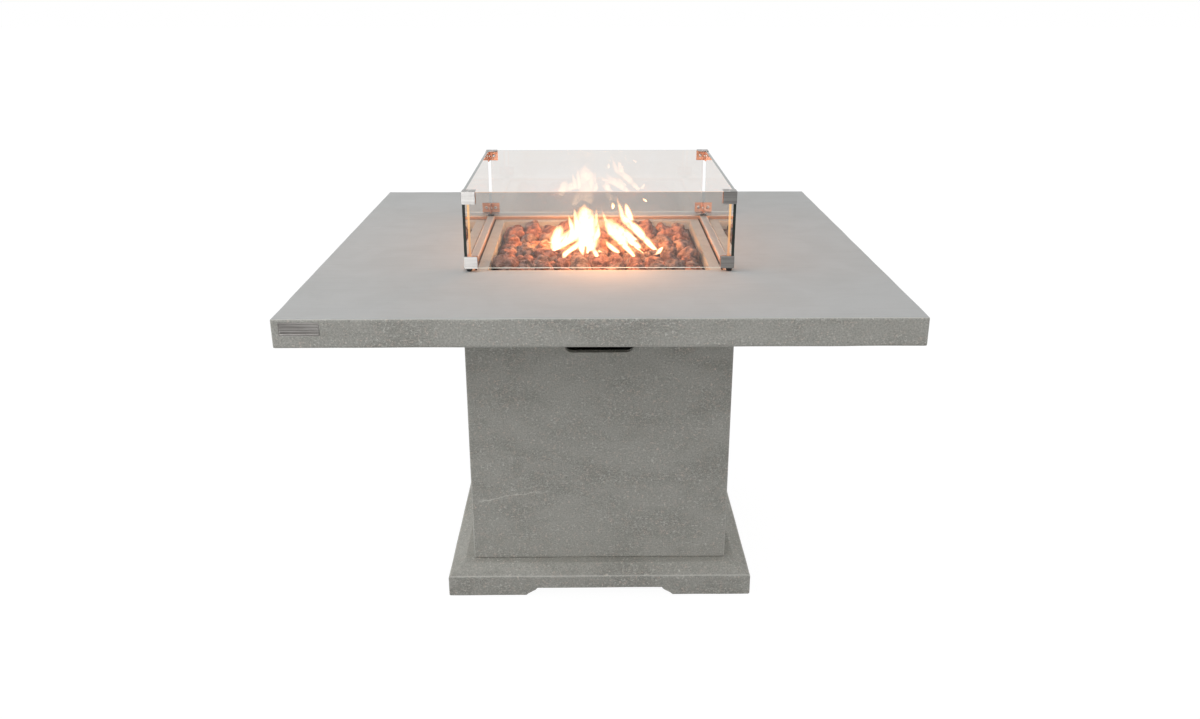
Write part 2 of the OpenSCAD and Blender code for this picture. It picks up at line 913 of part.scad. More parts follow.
module panel_screw_places() {
    for (y = [-panel_screw_y, panel_screw_y])
        for (z = [-panel_screw_z, panel_screw_z])
            translate([panel_face, y, control_z + z]) children();
}

module control_panel() {
    outline = rounded_rect(-panel_w / 2, -panel_h / 2, panel_w / 2, panel_h / 2, panel_r);
    color("silver") difference() {
        translate([ped_half, 0, control_z]) rotate([90, 0, 90]) linear_extrude(panel_t) polygon(outline);
        translate([0, knob_y, control_z]) rod_x(ped_half - cut, panel_face + cut, stem_hole);
        translate([0, igniter_y, control_z]) rod_x(ped_half - cut, panel_face + cut, barrel_d + 2 * hole_gap);
        panel_screw_places() rod_x(-panel_t - cut, cut, screw_hole);
    }
}

module panel_screws() {
    color("silver") panel_screw_places() {
        rod_x(-panel_t - panel_screw_len + cut, 0, screw_d);
        rotate([0, 90, 0]) pan_head();
    }
}

// The head of a pan-head screw, on +Z
module pan_head() {
    half = screw_head_h / 2;
    cylinder(d = screw_head_d, h = half);
    translate([0, 0, half]) cylinder(d1 = screw_head_d, d2 = screw_head_d * screw_crown, h = half);
}

module valve_stem() {
    color("silver") translate([0, knob_y, control_z]) rod_x(valve_x, stem_outer, stem_d);
}

module control_knob() {
    skirt_h = 5;
    skirt_r = knob_d / 2;
    grip_r = skirt_r - 4;
    flute_d = 6;
    pointer_w = 2;
    end_gap = 0.5;
    skirt = [[0, 0], [skirt_r, 0], [skirt_r, skirt_h - 1], [skirt_r - 1, skirt_h], [0, skirt_h]];
    color("dimgray") translate([knob_x, knob_y, control_z]) rotate([0, 90, 0]) difference() {
        union() {
            rotate_extrude() polygon(skirt);
            linear_extrude(knob_len) difference() {
                circle(r = grip_r);
                for (i = [0 : flute_count - 1])
                    rotate((i + 0.5) * 360 / flute_count)
                    translate([grip_r + flute_d / 4, 0])
                    circle(d = flute_d);
            }
        }
        bore(stem_d + 2 * fit, stem_outer - knob_x + end_gap);
        block(-grip_r / 2 - 4, -pointer_w / 2, knob_len - 1, -4, pointer_w / 2, knob_len + cut);
    }
}

module igniter_housing() {
    color("dimgray") translate([0, igniter_y, control_z]) difference() {
        union() {
            rod_x(barrel_back, panel_face, barrel_d);
            rod_x(panel_face, panel_face + bezel_t, bezel_d);
            rod_x(barrel_back - terminal_len, barrel_back, terminal_d);
        }
        rod_x(button_back - button_travel - 1, panel_face + bezel_t + cut, button_d + 2 * fit);
    }
}

module igniter_nut() {
    color("silver")
    translate([ped_half - igniter_nut_t, igniter_y, control_z])
    rotate([0, 90, 0])
    difference() {
        cylinder(d = igniter_nut_d, h = igniter_nut_t, $fn = 6);
        bore(barrel_d + 2 * fit, igniter_nut_t + cut);
    }
}

module igniter_button() {
    length = button_face - button_back;
    r = button_d / 2;
    crown = 2;
    dish = 0.8;
    profile = [[0, 0], [r, 0], [r, length - crown], [r - crown, length], [0, length - dish]];
    color("dimgray")
        translate([button_back, igniter_y, control_z])
        rotate([0, 90, 0])
        rotate_extrude()
        polygon(profile);
}

// Electrodes and their leads

module electrode_bracket() {
    y = control_pitch + strip_half;
    color("silver") difference() {
        union() {
            block(electrode_x - strip_half, -y, pan_floor, electrode_x + strip_half, y, pan_floor + pan_t);
            for (at = [knob_y, igniter_y])
                translate([electrode_x, at, pan_floor]) cylinder(d = sleeve_d, h = sleeve_h);
        }
        translate([electrode_x, igniter_y, pan_floor]) bore(ceramic_d + 2 * fit, sleeve_h + cut);
        translate([electrode_x, knob_y, pan_floor]) bore(sensor_d + 2 * fit, sleeve_h + cut);
    }
}

module spark_electrode() {
    tip_d = 2.4;
    tip_h = 6;
    tip_reach = 10;
    color("white") translate([electrode_x, igniter_y, 0]) {
        translate([0, 0, electrode_low]) cylinder(d = ceramic_d, h = ceramic_top - electrode_low);
        translate([0, 0, ceramic_top]) cylinder(d = tip_d, h = tip_h);
        translate([0, 0, ceramic_top + tip_h - tip_d / 2]) rod_x(-tip_reach, 0, tip_d);
    }
}

module thermocouple() {
    tip_h = 3;
    color("goldenrod") translate([electrode_x, knob_y, 0]) {
        translate([0, 0, electrode_low]) cylinder(d = sensor_d, h = sensor_top - electrode_low);
        translate([0, 0, sensor_top]) cylinder(d1 = sensor_d, d2 = sensor_d / 2, h = tip_h);
    }
}

module igniter_lead() {
    color("black") tube_run([
        [barrel_back - terminal_len, igniter_y, control_z],
        [electrode_x, igniter_y, control_z],
        [electrode_x, igniter_y, electrode_low]
    ], igniter_lead_d, lead_bend);
}

module thermocouple_lead() {
    color("goldenrod") tube_run([
        [valve_x, knob_y, control_z + valve_high + sensor_boss_h],
        [valve_x, knob_y, sensor_lead_z],
        [electrode_x, knob_y, sensor_lead_z],
        [electrode_x, knob_y, electrode_low]
    ], sensor_lead_d, lead_bend);
}

// Lava stones

// The lower stones as one fill, arched clear of the burner and the electrodes
module lava_bed() {
    fill = both_sides([[wall_at(pan_floor) - bed_gap, pan_floor], [bed_half, bed_top]]);
    arch_z = ring_z + ring_tube / 2 + ring_cover;
    reach = control_pitch + strip_half + ring_cover;
    color("saddlebrown") difference() {
        square_form(fill, pan_half);
        translate([0, 0, pan_floor - cut])
            cylinder(r = ring_r + ring_tube / 2 + ring_cover, h = arch_z - pan_floor + cut, $fn = 96);
        block(
            electrode_x - strip_half - ring_cover, -reach, pan_floor - cut,
            electrode_x + strip_half + ring_cover, reach, bed_top - ring_cover
        );
    }
}

// One turn of a stone's corners about all three axes
function turned(v, a) =
    let (x1 = v[0] * cos(a[0]) - v[1] * sin(a[0]), y1 = v[0] * sin(a[0]) + v[1] * cos(a[0]))
    let (y2 = y1 * cos(a[1]) - v[2] * sin(a[1]), z2 = y1 * sin(a[1]) + v[2] * cos(a[1]))
    [x1 * cos(a[2]) + z2 * sin(a[2]), y2, z2 * cos(a[2]) - x1 * sin(a[2])];

// A lumpy stone between two poles and two rings of corners, flat where it lies on the bed
module lava_stone(x, y, r, seed) {
    n = stone_sides;
    turn = rands(0, 360, 3, seed);
    swell = rands(stone_least, 1, 2 * n + 2, seed + 0.25);
    squeeze = rands(stone_least, 1, 3, seed + 0.5);
    lift = stone_lift * r;
    ring = function (level, offset) [for (i = [0 : n - 1])
        let (a = (i + offset) * 360 / n) [cos(a) * cos(level), sin(a) * cos(level), sin(level)]];
    ball = concat([[0, 0, 1]], ring(stone_belt, 0), ring(-stone_belt, 0.5), [[0, 0, -1]]);
    corners = [for (i = [0 : 2 * n + 1])
        let (v = turned([for (k = [0 : 2]) ball[i][k] * squeeze[k]], turn) * r * swell[i])
        [x + v[0], y + v[1], bed_top + max(0, lift + v[2])]];
    faces = concat(
        [for (i = [0 : n - 1]) [0, 1 + (i + 1) % n, 1 + i]],
        [for (i = [0 : n - 1]) [1 + i, 1 + (i + 1) % n, 1 + n + i]],
        [for (i = [0 : n - 1]) [1 + (i + 1) % n, 1 + n + (i + 1) % n, 1 + n + i]],
        [for (i = [0 : n - 1]) [2 * n + 1, 1 + n + i, 1 + n + (i + 1) % n]]
    );
    polyhedron(corners, faces);
}

// Rows of large stones, and small ones in the gaps between them
module lava_rocks() {
    color("sienna") {
        stone_grid(stone_rows, stone_d / 2, stone_seed);
        stone_grid(stone_rows - 1, chip_d / 2, chip_seed);
    }
}

module stone_grid(rows, most_r, first_seed) {
    start = -(rows - 1) * stone_pitch / 2;
    for (i = [0 : rows - 1]) for (j = [0 : rows - 1]) {
        seed = first_seed + i * rows + j;
        r = most_r * rands(stone_least, 1, 1, seed)[0];
        play = (most_r - r) / 2;
        shift = rands(-play, play, 2, seed + 0.75);
        lava_stone(start + i * stone_pitch + shift[0], start + j * stone_pitch + shift[1], r, seed);
    }
}

// Wind guard

// A front or back panel, drawn at the back, that fits between the side panels
module glass_across() {
    half = glass_in - corner_gap;
    color("lightcyan", 0.4) difference() {
        block(-half, glass_in, glass_z, half, glass_out, glass_top);
        for (x = [-screw_at, screw_at]) for (z = screw_levels)
            translate([x, glass_in, z]) rotate([-90, 0, 0]) bore(glass_hole, glass_t + cut);
    }
}

// A side panel, drawn on the right, as deep as the guard
module glass_along() {
    color("lightcyan", 0.4) difference() {
        block(glass_in, -glass_out, glass_z, glass_out, glass_out, glass_top);
        for (y = [-screw_at, screw_at]) for (z = screw_levels)
            translate([0, y, z]) rod_x(glass_in - cut, glass_out + cut, glass_hole);
    }
}

module glass_back() {
    glass_across();
}

module glass_front() {
    mirror([0, 1, 0]) glass_across();
}

module glass_right() {
    glass_along();
}

module glass_left() {
    mirror([1, 0, 0]) glass_along();
}

// A sheet cup around the lower ends of two panels, drawn in the back right corner
module corner_cup() {
    near = clip_out - clip_w;
    difference() {
        block(near, near, guard_z, clip_out, clip_out, guard_z + clip_h);
        block(near - cut, near - cut, glass_z, glass_out, glass_out, guard_z + clip_h + cut);
    }
}

module inner_bracket() {
    near = bracket_near;
    far = bracket_out;
    low = glass_z + (clip_h - bracket_h) / 2;
    difference() {
        block(near, near, low, glass_in, glass_in, low + bracket_h);
        block(near - cut, near - cut, low - cut, far, far, low + bracket_h + cut);
        translate([screw_at, far, screw_levels[0]]) rotate([-90, 0, 0]) bore(screw_hole, bracket_t + cut);
        translate([0, screw_at, screw_levels[0]]) rod_x(far - cut, glass_in + cut, screw_hole);
    }
}

// Turns a piece of the lower corners over, for the upper corners
module turned_over() {
    translate([0, 0, glass_z + glass_top]) mirror([0, 0, 1]) children();
}

module clip_bottom(c) {
    color("silver") in_corner(c) corner_cup();
}

module clip_top(c) {
    color("silver") turned_over() in_corner(c) corner_cup();
}

module bracket_bottom(c) {
    color("silver") in_corner(c) inner_bracket();
}

module bracket_top(c) {
    color("silver") turned_over() in_corner(c) inner_bracket();
}

module clip_screws() {
    face = bracket_out;
    color("silver") for (c = CORNERS) in_corner(c) for (z = screw_levels) {
        translate([screw_at, face, z]) rotate([90, 0, 0]) pan_head();
        translate([screw_at, face, z]) rotate([-90, 0, 0]) cylinder(d = screw_d, h = glass_out - face);
        translate([face, screw_at, z]) rotate([0, -90, 0]) pan_head();
        translate([0, screw_at, z]) rod_x(face, glass_out, screw_d);
    }
}

module guard_feet() {
    color("black") each_corner(foot_mid, foot_mid)
        translate([0, 0, table_h]) cylinder(d1 = foot_low_d, d2 = foot_top_d, h = foot_h);
}

tabletop();
edge_plate();
pedestal_shell();
plinth();
tank_tray();
top_brackets();
top_bolts();
base_brackets();
base_bolts();
access_door();
strike_plates();
door_magnets();
door_studs();
burner_pan();
burner_ring();
burner_nut();
air_mixer();
gas_pipe();
gas_valve();
valve_inlet();
control_panel();
panel_screws();
valve_stem();
control_knob();
igniter_housing();
igniter_nut();
igniter_button();
electrode_bracket();
spark_electrode();
thermocouple();
igniter_lead();
thermocouple_lead();
lava_bed();
lava_rocks();
glass_front();
glass_back();
glass_left();
glass_right();
clip_screws();
guard_feet();
for (c = CORNERS) {
    clip_bottom(c);
    clip_top(c);
    bracket_bottom(c);
    bracket_top(c);
}
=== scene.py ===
"""The looks of a square fire table: cast concrete, a glass wind guard, lava stones and their flames."""
import json
import math

import bmesh
import bpy
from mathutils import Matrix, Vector, noise


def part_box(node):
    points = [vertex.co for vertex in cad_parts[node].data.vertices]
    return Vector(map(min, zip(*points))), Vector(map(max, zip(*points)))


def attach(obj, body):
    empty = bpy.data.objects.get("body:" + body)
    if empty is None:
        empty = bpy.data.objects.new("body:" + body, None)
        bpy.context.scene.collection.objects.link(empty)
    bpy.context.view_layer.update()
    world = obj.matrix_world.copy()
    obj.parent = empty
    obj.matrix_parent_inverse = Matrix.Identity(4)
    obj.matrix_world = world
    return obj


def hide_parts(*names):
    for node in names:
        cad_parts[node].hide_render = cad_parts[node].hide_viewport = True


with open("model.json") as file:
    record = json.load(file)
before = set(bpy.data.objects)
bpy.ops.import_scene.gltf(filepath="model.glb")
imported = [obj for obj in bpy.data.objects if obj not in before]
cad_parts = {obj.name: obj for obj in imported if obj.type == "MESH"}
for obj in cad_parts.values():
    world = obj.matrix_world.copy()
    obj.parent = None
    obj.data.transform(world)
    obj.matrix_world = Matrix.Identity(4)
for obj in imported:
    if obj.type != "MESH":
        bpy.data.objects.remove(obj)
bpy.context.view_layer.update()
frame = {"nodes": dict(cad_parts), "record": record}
NODES = frame["nodes"]
RECORD = frame["record"]
SLOT_OF = {part["node"]: part["material_slot"] for part in RECORD["subparts"]}
BODY_OF = {node: body for body, nodes in RECORD["behaviour"]["bodies"].items() for node in nodes}
CORNERS = ("front_left", "front_right", "back_left", "back_right")

# The camera, in metres and degrees, and its focal length in pixels of an image this wide
IMAGE_W = 1200
FOCAL_PX = 1031
SENSOR_MM = 36
EYE = Vector((-0.0206, -2.380, 1.3225))
LOOK_DOWN = 20.13
LOOK_RIGHT = 0.6


# Shared helpers for materials and other node trees

WHITE = (1.0, 1.0, 1.0, 1.0)
# The Mix node's sockets for a share and two colours, and its output for a colour
MIX_SHARE, MIX_FIRST, MIX_SECOND, MIX_RESULT = 0, 6, 7, 2


def linear(share):
    """One channel of a screen colour, from 0 to 1, as shaders take it."""
    return share / 12.92 if share <= 0.04045 else ((share + 0.055) / 1.055) ** 2.4


def tone(red, green, blue):
    """A screen colour, from 0 to 255, as the linear colour that shaders take."""
    return (*[linear(channel / 255) for channel in (red, green, blue)], 1.0)


class Tree:
    """A tree of nodes that is built up node by node."""

    def __init__(self, tree):
        self.tree = tree

    def node(self, kind, inputs=None, **settings):
        """A new node with its settings, and with its inputs linked or set."""
        node = self.tree.nodes.new(kind)
        for key, value in settings.items():
            setattr(node, key, value)
        for key, value in (inputs or {}).items():
            self.feed(node.inputs[key], value)
        return node

    def feed(self, socket, value):
        """Links a socket to another one, or sets a plain value on it."""
        if isinstance(value, bpy.types.NodeSocket):
            self.tree.links.new(value, socket)
        else:
            socket.default_value = value

    def math(self, how, first, second=0.0, third=0.0):
        """One step of arithmetic on sockets or numbers."""
        return self.node("ShaderNodeMath", {0: first, 1: second, 2: third}, operation=how).outputs[0]

    def mixed(self, share, first, second):
        """A shader between two, by a share from 0 to 1."""
        return self.node("ShaderNodeMixShader", {0: share, 1: first, 2: second}).outputs[0]


class Finish(Tree):
    """A material made of nodes that read the piece's own coordinates."""

    def __init__(self, name):
        self.material = bpy.data.materials.new(name)
        self.material.use_nodes = True
        super().__init__(self.material.node_tree)
        self.tree.nodes.clear()
        self.output = self.node("ShaderNodeOutputMaterial")
        coordinates = self.node("ShaderNodeTexCoord")
        self.place = coordinates.outputs["Object"]
        self.facing = coordinates.outputs["Normal"]

    def stretched(self, x, y, z):
        """The piece's coordinates, scaled along each axis."""
        return self.node("ShaderNodeMapping", {"Vector": self.place, "Scale": (x, y, z)}).outputs["Vector"]

    def clouds(self, scale, detail, rough=0.55, warp=0.0, at=None):
        """A cloudy noise, mostly between 0.3 and 0.7."""
        inputs = {
            "Vector": self.place if at is None else at,
            "Scale": scale,
            "Detail": detail,
            "Roughness": rough,
            "Distortion": warp,
        }
        return self.node("ShaderNodeTexNoise", inputs).outputs["Fac"]

    def cells(self, scale):
        """A node that gives the distance to the nearest cell's middle, and that cell's own colour."""
        return self.node("ShaderNodeTexVoronoi", {"Vector": self.place, "Scale": scale})

    def span(self, value, low, high, start=0.0, stop=1.0):
        """The stretch of a value from low to high, spread smoothly from start to stop."""
        inputs = {"Value": value, "From Min": low, "From Max": high, "To Min": start, "To Max": stop}
        return self.node("ShaderNodeMapRange", inputs, interpolation_type="SMOOTHSTEP").outputs["Result"]

    def blend(self, share, first, second):
        """A colour between two, by a share from 0 to 1."""
        inputs = {MIX_SHARE: share, MIX_FIRST: first, MIX_SECOND: second}
        return self.node("ShaderNodeMix", inputs, data_type="RGBA").outputs[MIX_RESULT]

    def part(self, vector, axis):
        """One axis of a vector, or one channel of a colour."""
        return self.node("ShaderNodeSeparateXYZ", {"Vector": vector}).outputs[axis]

    def bump(self, height, depth, strength, under=None):
        """A normal that follows a height, over another normal if there is one."""
        inputs = {"Height": height, "Distance": depth, "Strength": strength}
        if under is not None:
            inputs["Normal"] = under
        return self.node("ShaderNodeBump", inputs).outputs["Normal"]

    def done(self, shader):
        """Ends the material in a shader."""
        self.feed(self.output.inputs["Surface"], shader)
        return self.material

    def principled(self, inputs):
        """Ends the material in the shader for most surfaces."""
        return self.done(self.node("ShaderNodeBsdfPrincipled", inputs).outputs["BSDF"])


# Concrete

# The levels between which the slab's marks begin: its trowelling, the painted fire glow and shade on the
# recess's walls, and the painted shade in the gap beside the flange
SLAB_FROM = 0.70
SLAB_FULL = 0.735
# The recess round the burner: the gap beside the pan's flange, half its width, how far its painted fire glow
# and shade fade, and the levels between which the painted shade in the gap ends
FLANGE_GAP = 0.004
RECESS_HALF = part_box("burner_pan")[1].x + FLANGE_GAP
RECESS_FADE = 0.004
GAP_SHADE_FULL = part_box("burner_pan")[1].z - 0.002
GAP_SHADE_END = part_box("burner_pan")[1].z + 0.001

# A fine pale vein low on the left of the door, in metres: its ends and how far they fade, its height at X = 0
# and its slope, half its width, how far it wanders, and how far behind the door's front it shows and fades
VEIN = {
    "left": -0.282,
    "left_fade": 0.02,
    "right": -0.105,
    "right_fade": 0.05,
    "height": 0.2582,
    "slope": 0.152,
    "half_width": 0.0024,
    "wander": 0.005,
    "depth": 0.002,
    "depth_fade": 0.001,
}


def hairline(f):
    """A socket that is 1 along the vein and 0 beside it."""
    x, y, z = [f.part(f.place, axis) for axis in "XYZ"]
    line = f.math("MULTIPLY_ADD", x, VEIN["slope"], VEIN["height"])
    wander = f.span(f.clouds(34, 4, 0.6), 0.3, 0.7, -VEIN["wander"], VEIN["wander"])
    off = f.math("ABSOLUTE", f.math("SUBTRACT", f.math("SUBTRACT", z, line), wander))
    drawn = f.span(off, 0.0, VEIN["half_width"], 1.0, 0.0)
    starts = f.span(x, VEIN["left"], VEIN["left"] + VEIN["left_fade"])
    stops = f.span(x, VEIN["right"] - VEIN["right_fade"], VEIN["right"], 1.0, 0.0)
    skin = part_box("access_door")[0].y + VEIN["depth"]
    on_front = f.span(y, skin, skin + VEIN["depth_fade"], 1.0, 0.0)
    return f.math("MULTIPLY", f.math("MULTIPLY", drawn, on_front), f.math("MULTIPLY", starts, stops))


def painted_edge_highlight(f):
    """A socket that is above 0 where a face is square to no axis, as on eased edges, for a highlight painted
    along them.
    """
    turned = [f.math("ABSOLUTE", f.part(f.facing, axis)) for axis in "XYZ"]
    squarest = f.math("MAXIMUM", turned[0], f.math("MAXIMUM", turned[1], turned[2]))
    return f.span(squarest, 0.78, 0.89, 0.5, 0.0)


def in_recess(f):
    """A socket that is 1 within the recess's width and 0 outside it."""
    outward = [f.math("ABSOLUTE", f.part(f.place, axis)) for axis in "XY"]
    return f.span(f.math("MAXIMUM", *outward), RECESS_HALF, RECESS_HALF + RECESS_FADE, 1.0, 0.0)


def concrete():
    """Cast concrete: trowelled smooth on top, flecked, pitted and faintly streaked on its sides."""
    f = Finish("concrete")
    level = f.part(f.place, "Z")
    high = f.span(level, SLAB_FROM, SLAB_FULL)
    upward = f.math("MULTIPLY", high, f.span(f.part(f.facing, "Z"), 0.5, 0.9))
    side = f.math("SUBTRACT", 1.0, upward)

    def mostly_sides(share, on_sides, on_top=0.0):
        return f.math("MULTIPLY", share, f.math("MULTIPLY_ADD", side, on_sides - on_top, on_top))

    blotches = f.clouds(1, 4, 0.6, 0.6, at=f.stretched(8, 8, 15))
    streaks = f.clouds(1, 4, 0.6, at=f.stretched(7, 7, 42))
    trowel = f.clouds(1, 4, 0.65, at=f.stretched(9, 120, 9))
    broad = f.clouds(2.3, 2)
    grit = f.clouds(300, 3, 0.7)
    flecks = f.span(f.clouds(1, 2.5, 0.65, 0.3, at=f.stretched(165, 165, 225)), 0.53, 0.66)
    flecks = f.math("MULTIPLY", flecks, f.span(streaks, 0.36, 0.6, 0.3, 1.0))
    threads = f.clouds(1, 1.5, 0.5, 0.8, at=f.stretched(90, 90, 150))
    threads = f.span(f.math("ABSOLUTE", f.math("SUBTRACT", threads, 0.5)), 0.0, 0.035, 1.0, 0.0)
    threads = f.math("MULTIPLY", threads, f.span(blotches, 0.4, 0.58))
    pit_cells = f.cells(55)
    pitted = f.span(f.part(pit_cells.outputs["Color"], "X"), 0.82, 0.84)
    pits = f.math("MULTIPLY", f.span(pit_cells.outputs["Distance"], 0.03, 0.11, 1.0, 0.0), pitted)

    colour = f.blend(upward, tone(191, 190, 183), tone(187, 189, 189))
    colour = f.blend(f.span(broad, 0.3, 0.7, 0.0, 0.10), colour, tone(160, 159, 153))
    colour = f.blend(mostly_sides(f.span(trowel, 0.45, 0.75), 0.0, 0.14), colour, tone(160, 160, 158))
    colour = f.blend(mostly_sides(f.span(blotches, 0.35, 0.68), 0.55, 0.07), colour, tone(148, 147, 140))
    colour = f.blend(mostly_sides(f.span(streaks, 0.5, 0.75), 0.3, 0.06), colour, tone(164, 163, 158))
    fleck_colour = f.blend(f.span(f.clouds(70, 2), 0.45, 0.6), tone(222, 222, 215), tone(226, 214, 203))
    colour = f.blend(mostly_sides(f.math("MAXIMUM", flecks, threads), 0.85), colour, fleck_colour)
    colour = f.blend(mostly_sides(f.span(grit, 0.35, 0.6, 1.0, 0.0), 0.42), colour, tone(116, 115, 109))
    # Painted shade: the pits made darker, as the shadow in them
    colour = f.blend(mostly_sides(pits, 0.5, 0.12), colour, tone(104, 102, 97))
    colour = f.blend(f.math("MULTIPLY", hairline(f), 0.8), colour, tone(226, 225, 217))
    # Painted highlight: the eased edges made lighter, as where they catch the light
    colour = f.blend(painted_edge_highlight(f), colour, tone(226, 225, 219))
    recess = in_recess(f)
    # Painted fire glow and shade: the recess's walls made darker and orange, as the fire lights them
    colour = f.blend(f.math("MULTIPLY", high, mostly_sides(recess, 0.8)), colour, tone(158, 124, 104))
    # Painted shade: the gap beside the flange made nearly black, as the shadow in it
    soot_and_painted_shade = f.math("MULTIPLY", f.math("MULTIPLY", high, recess), f.span(level, GAP_SHADE_FULL, GAP_SHADE_END, 0.92, 0.0))
    colour = f.blend(soot_and_painted_shade, colour, tone(36, 32, 31))

    normal = f.bump(broad, 0.006, 0.25)
    normal = f.bump(grit, 0.0006, 0.35, normal)
    normal = f.bump(flecks, 0.0005, mostly_sides(1.0, 0.5), normal)
    normal = f.bump(f.math("SUBTRACT", 1.0, pits), 0.0012, mostly_sides(1.0, 0.75, 0.15), normal)
    return f.principled(
        {
            "Base Color": colour,
            "Roughness": f.span(blotches, 0.3, 0.7, 0.68, 0.86),
            "Normal": normal,
            "Specular IOR Level": 0.35,
        }
    )


# Metals, plastics and ceramic

# How fine the brushed lines are across and along themselves
BRUSHED_ACROSS = 420.0
BRUSHED_ALONG = 9.0


def brushed_steel(name, colour, along, roughness, spread=0.0):
    """Steel brushed along one axis, X, Y or Z, which can spread what it mirrors upwards and downwards."""
    f = Finish(name)
    grain = [BRUSHED_ALONG if axis == along else BRUSHED_ACROSS for axis in "XYZ"]
    lines = f.clouds(1, 3, 0.7, at=f.stretched(*grain))
    marks = f.clouds(45, 3, 0.6)
    worn = f.blend(f.span(marks, 0.4, 0.8, 0.0, 0.3), colour, tone(120, 116, 112))
    return f.principled(
        {
            "Base Color": f.blend(f.span(lines, 0.3, 0.7, 0.0, 0.25), worn, tone(230, 228, 225)),
            "Metallic": 1.0,
            "Roughness": f.span(lines, 0.25, 0.75, roughness - 0.06, roughness + 0.06),
            "Anisotropic": spread,
            "Anisotropic Rotation": 0.25,
            "Normal": f.bump(lines, 0.0002, 0.2),
        }
    )


def plated_steel():
    """Zinc-plated steel, with its faint crystal patches."""
    f = Finish("zinc_plate")
    crystals = f.cells(70)
    shade = f.part(crystals.outputs["Color"], "X")
    smear = f.clouds(25, 3)
    colour = f.blend(f.span(shade, 0.0, 1.0, 0.0, 0.5), tone(176, 178, 180), tone(206, 206, 203))
    colour = f.blend(f.span(smear, 0.55, 0.8, 0.0, 0.35), colour, tone(150, 148, 140))
    return f.principled(
        {
            "Base Color": colour,
            "Metallic": 1.0,
            "Roughness": f.span(shade, 0.0, 1.0, 0.34, 0.5),
            "Normal": f.bump(smear, 0.0006, 0.2),
        }
    )


def machined_brass():
    """Brass with turning marks and a little tarnish."""
    f = Finish("brass")
    turning = f.clouds(1, 2, at=f.stretched(300, 300, 700))
    tarnish = f.clouds(40, 4, 0.65)
    colour = f.blend(f.span(tarnish, 0.45, 0.75, 0.0, 0.6), tone(205, 170, 98), tone(140, 104, 58))
    return f.principled(
        {
            "Base Color": colour,
            "Metallic": 1.0,
            "Roughness": f.span(tarnish, 0.3, 0.7, 0.25, 0.48),
            "Normal": f.bump(turning, 0.0002, 0.3),
        }
    )


def coated_steel():
    """Sheet steel under a matt, heat-proof, stone-coloured coat."""
    f = Finish("pan_coat")
    wash = f.clouds(14, 3, 0.6)
    grain = f.clouds(420, 2, 0.6)
    soot_and_painted_shade = f.span(f.clouds(30, 4, 0.65), 0.55, 0.8, 0.0, 0.25)
    colour = f.blend(f.span(wash, 0.3, 0.7), tone(178, 179, 174), tone(166, 166, 160))
    return f.principled(
        {
            "Base Color": f.blend(soot_and_painted_shade, colour, tone(120, 108, 98)),
            "Roughness": f.span(grain, 0.3, 0.7, 0.5, 0.66),
            "Normal": f.bump(grain, 0.0002, 0.3),
        }
    )


def moulded(name, dark, light, roughness, grain=900.0):
    """Moulded plastic or rubber with a fine spark-eroded grain."""
    f = Finish(name)
    sparks = f.clouds(grain, 2, 0.6)
    wear = f.clouds(60, 3)
    return f.principled(
        {
            "Base Color": f.blend(f.span(wear, 0.4, 0.75), dark, light),
            "Roughness": f.span(sparks, 0.3, 0.7, roughness - 0.08, roughness + 0.08),
            "Normal": f.bump(sparks, 0.0002, 0.4),
        }
    )


def glazed_porcelain():
    """Glazed white ceramic with small specks."""
    f = Finish("porcelain")
    specks = f.span(f.clouds(400, 2), 0.62, 0.72)
    wash = f.clouds(60, 2)
    colour = f.blend(f.span(wash, 0.3, 0.7), tone(236, 232, 222), tone(220, 214, 202))
    return f.principled(
        {
            "Base Color": f.blend(f.math("MULTIPLY", specks, 0.5), colour, tone(150, 136, 118)),
            "Roughness": f.span(wash, 0.3, 0.7, 0.16, 0.26),
            "Coat Weight": 0.4,
        }
    )


# Lava and flame


def lava(name, soot_and_painted_shade=0.0):
    """Porous volcanic stone, plain or darkened by painted shade; each stone has its own colour, from dull red
    to grey brown.
    """
    f = Finish(name)
    shade = f.node("ShaderNodeAttribute", attribute_name="stone_shade").outputs["Fac"]
    lumps = f.clouds(60, 5, 0.7, 0.4)
    pores = f.cells(310)
    holes = f.span(pores.outputs["Distance"], 0.1, 0.42, 1.0, 0.0)
    holes = f.math("MULTIPLY", holes, f.span(f.clouds(95, 3), 0.42, 0.6))
    grain = f.clouds(520, 3, 0.7)
    # The mottling follows the lumps of the bump: partly the stone's own tone, partly a painted highlight on
    # the lumps and painted shade in the hollows
    red = f.blend(f.span(lumps, 0.36, 0.64), tone(104, 68, 58), tone(186, 138, 119))
    grey = f.blend(f.span(lumps, 0.36, 0.64), tone(88, 73, 68), tone(172, 148, 138))
    colour = f.blend(f.span(shade, 0.3, 0.75), red, grey)
    colour = f.blend(f.span(grain, 0.5, 0.8, 0.0, 0.5), colour, tone(204, 172, 158))
    # Painted shade: the pores made darker, as the shadow in them
    colour = f.blend(f.math("MULTIPLY", holes, 0.45), colour, tone(74, 48, 42))
    # Painted shade: the stone darkened by a share, as the shadow in the gaps between stones
    colour = f.blend(soot_and_painted_shade, colour, tone(40, 29, 26))
    normal = f.bump(lumps, 0.004, 0.8)
    normal = f.bump(f.math("SUBTRACT", 1.0, holes), 0.0022, 0.8, normal)
    normal = f.bump(grain, 0.0008, 0.6, normal)
    roughness = f.span(grain, 0.2, 0.8, 0.82, 0.98)
    return f.principled({"Base Color": colour, "Roughness": roughness, "Normal": normal})


# How many times as bright as white a flame's rim and its hottest part are
RIM_LIGHT = 1.2
FLAME_LIGHT = 8.0
RIM_ORANGE = (1.0, 0.29, 0.06, 1.0)
CORE_YELLOW = (1.0, 0.60, 0.34, 1.0)


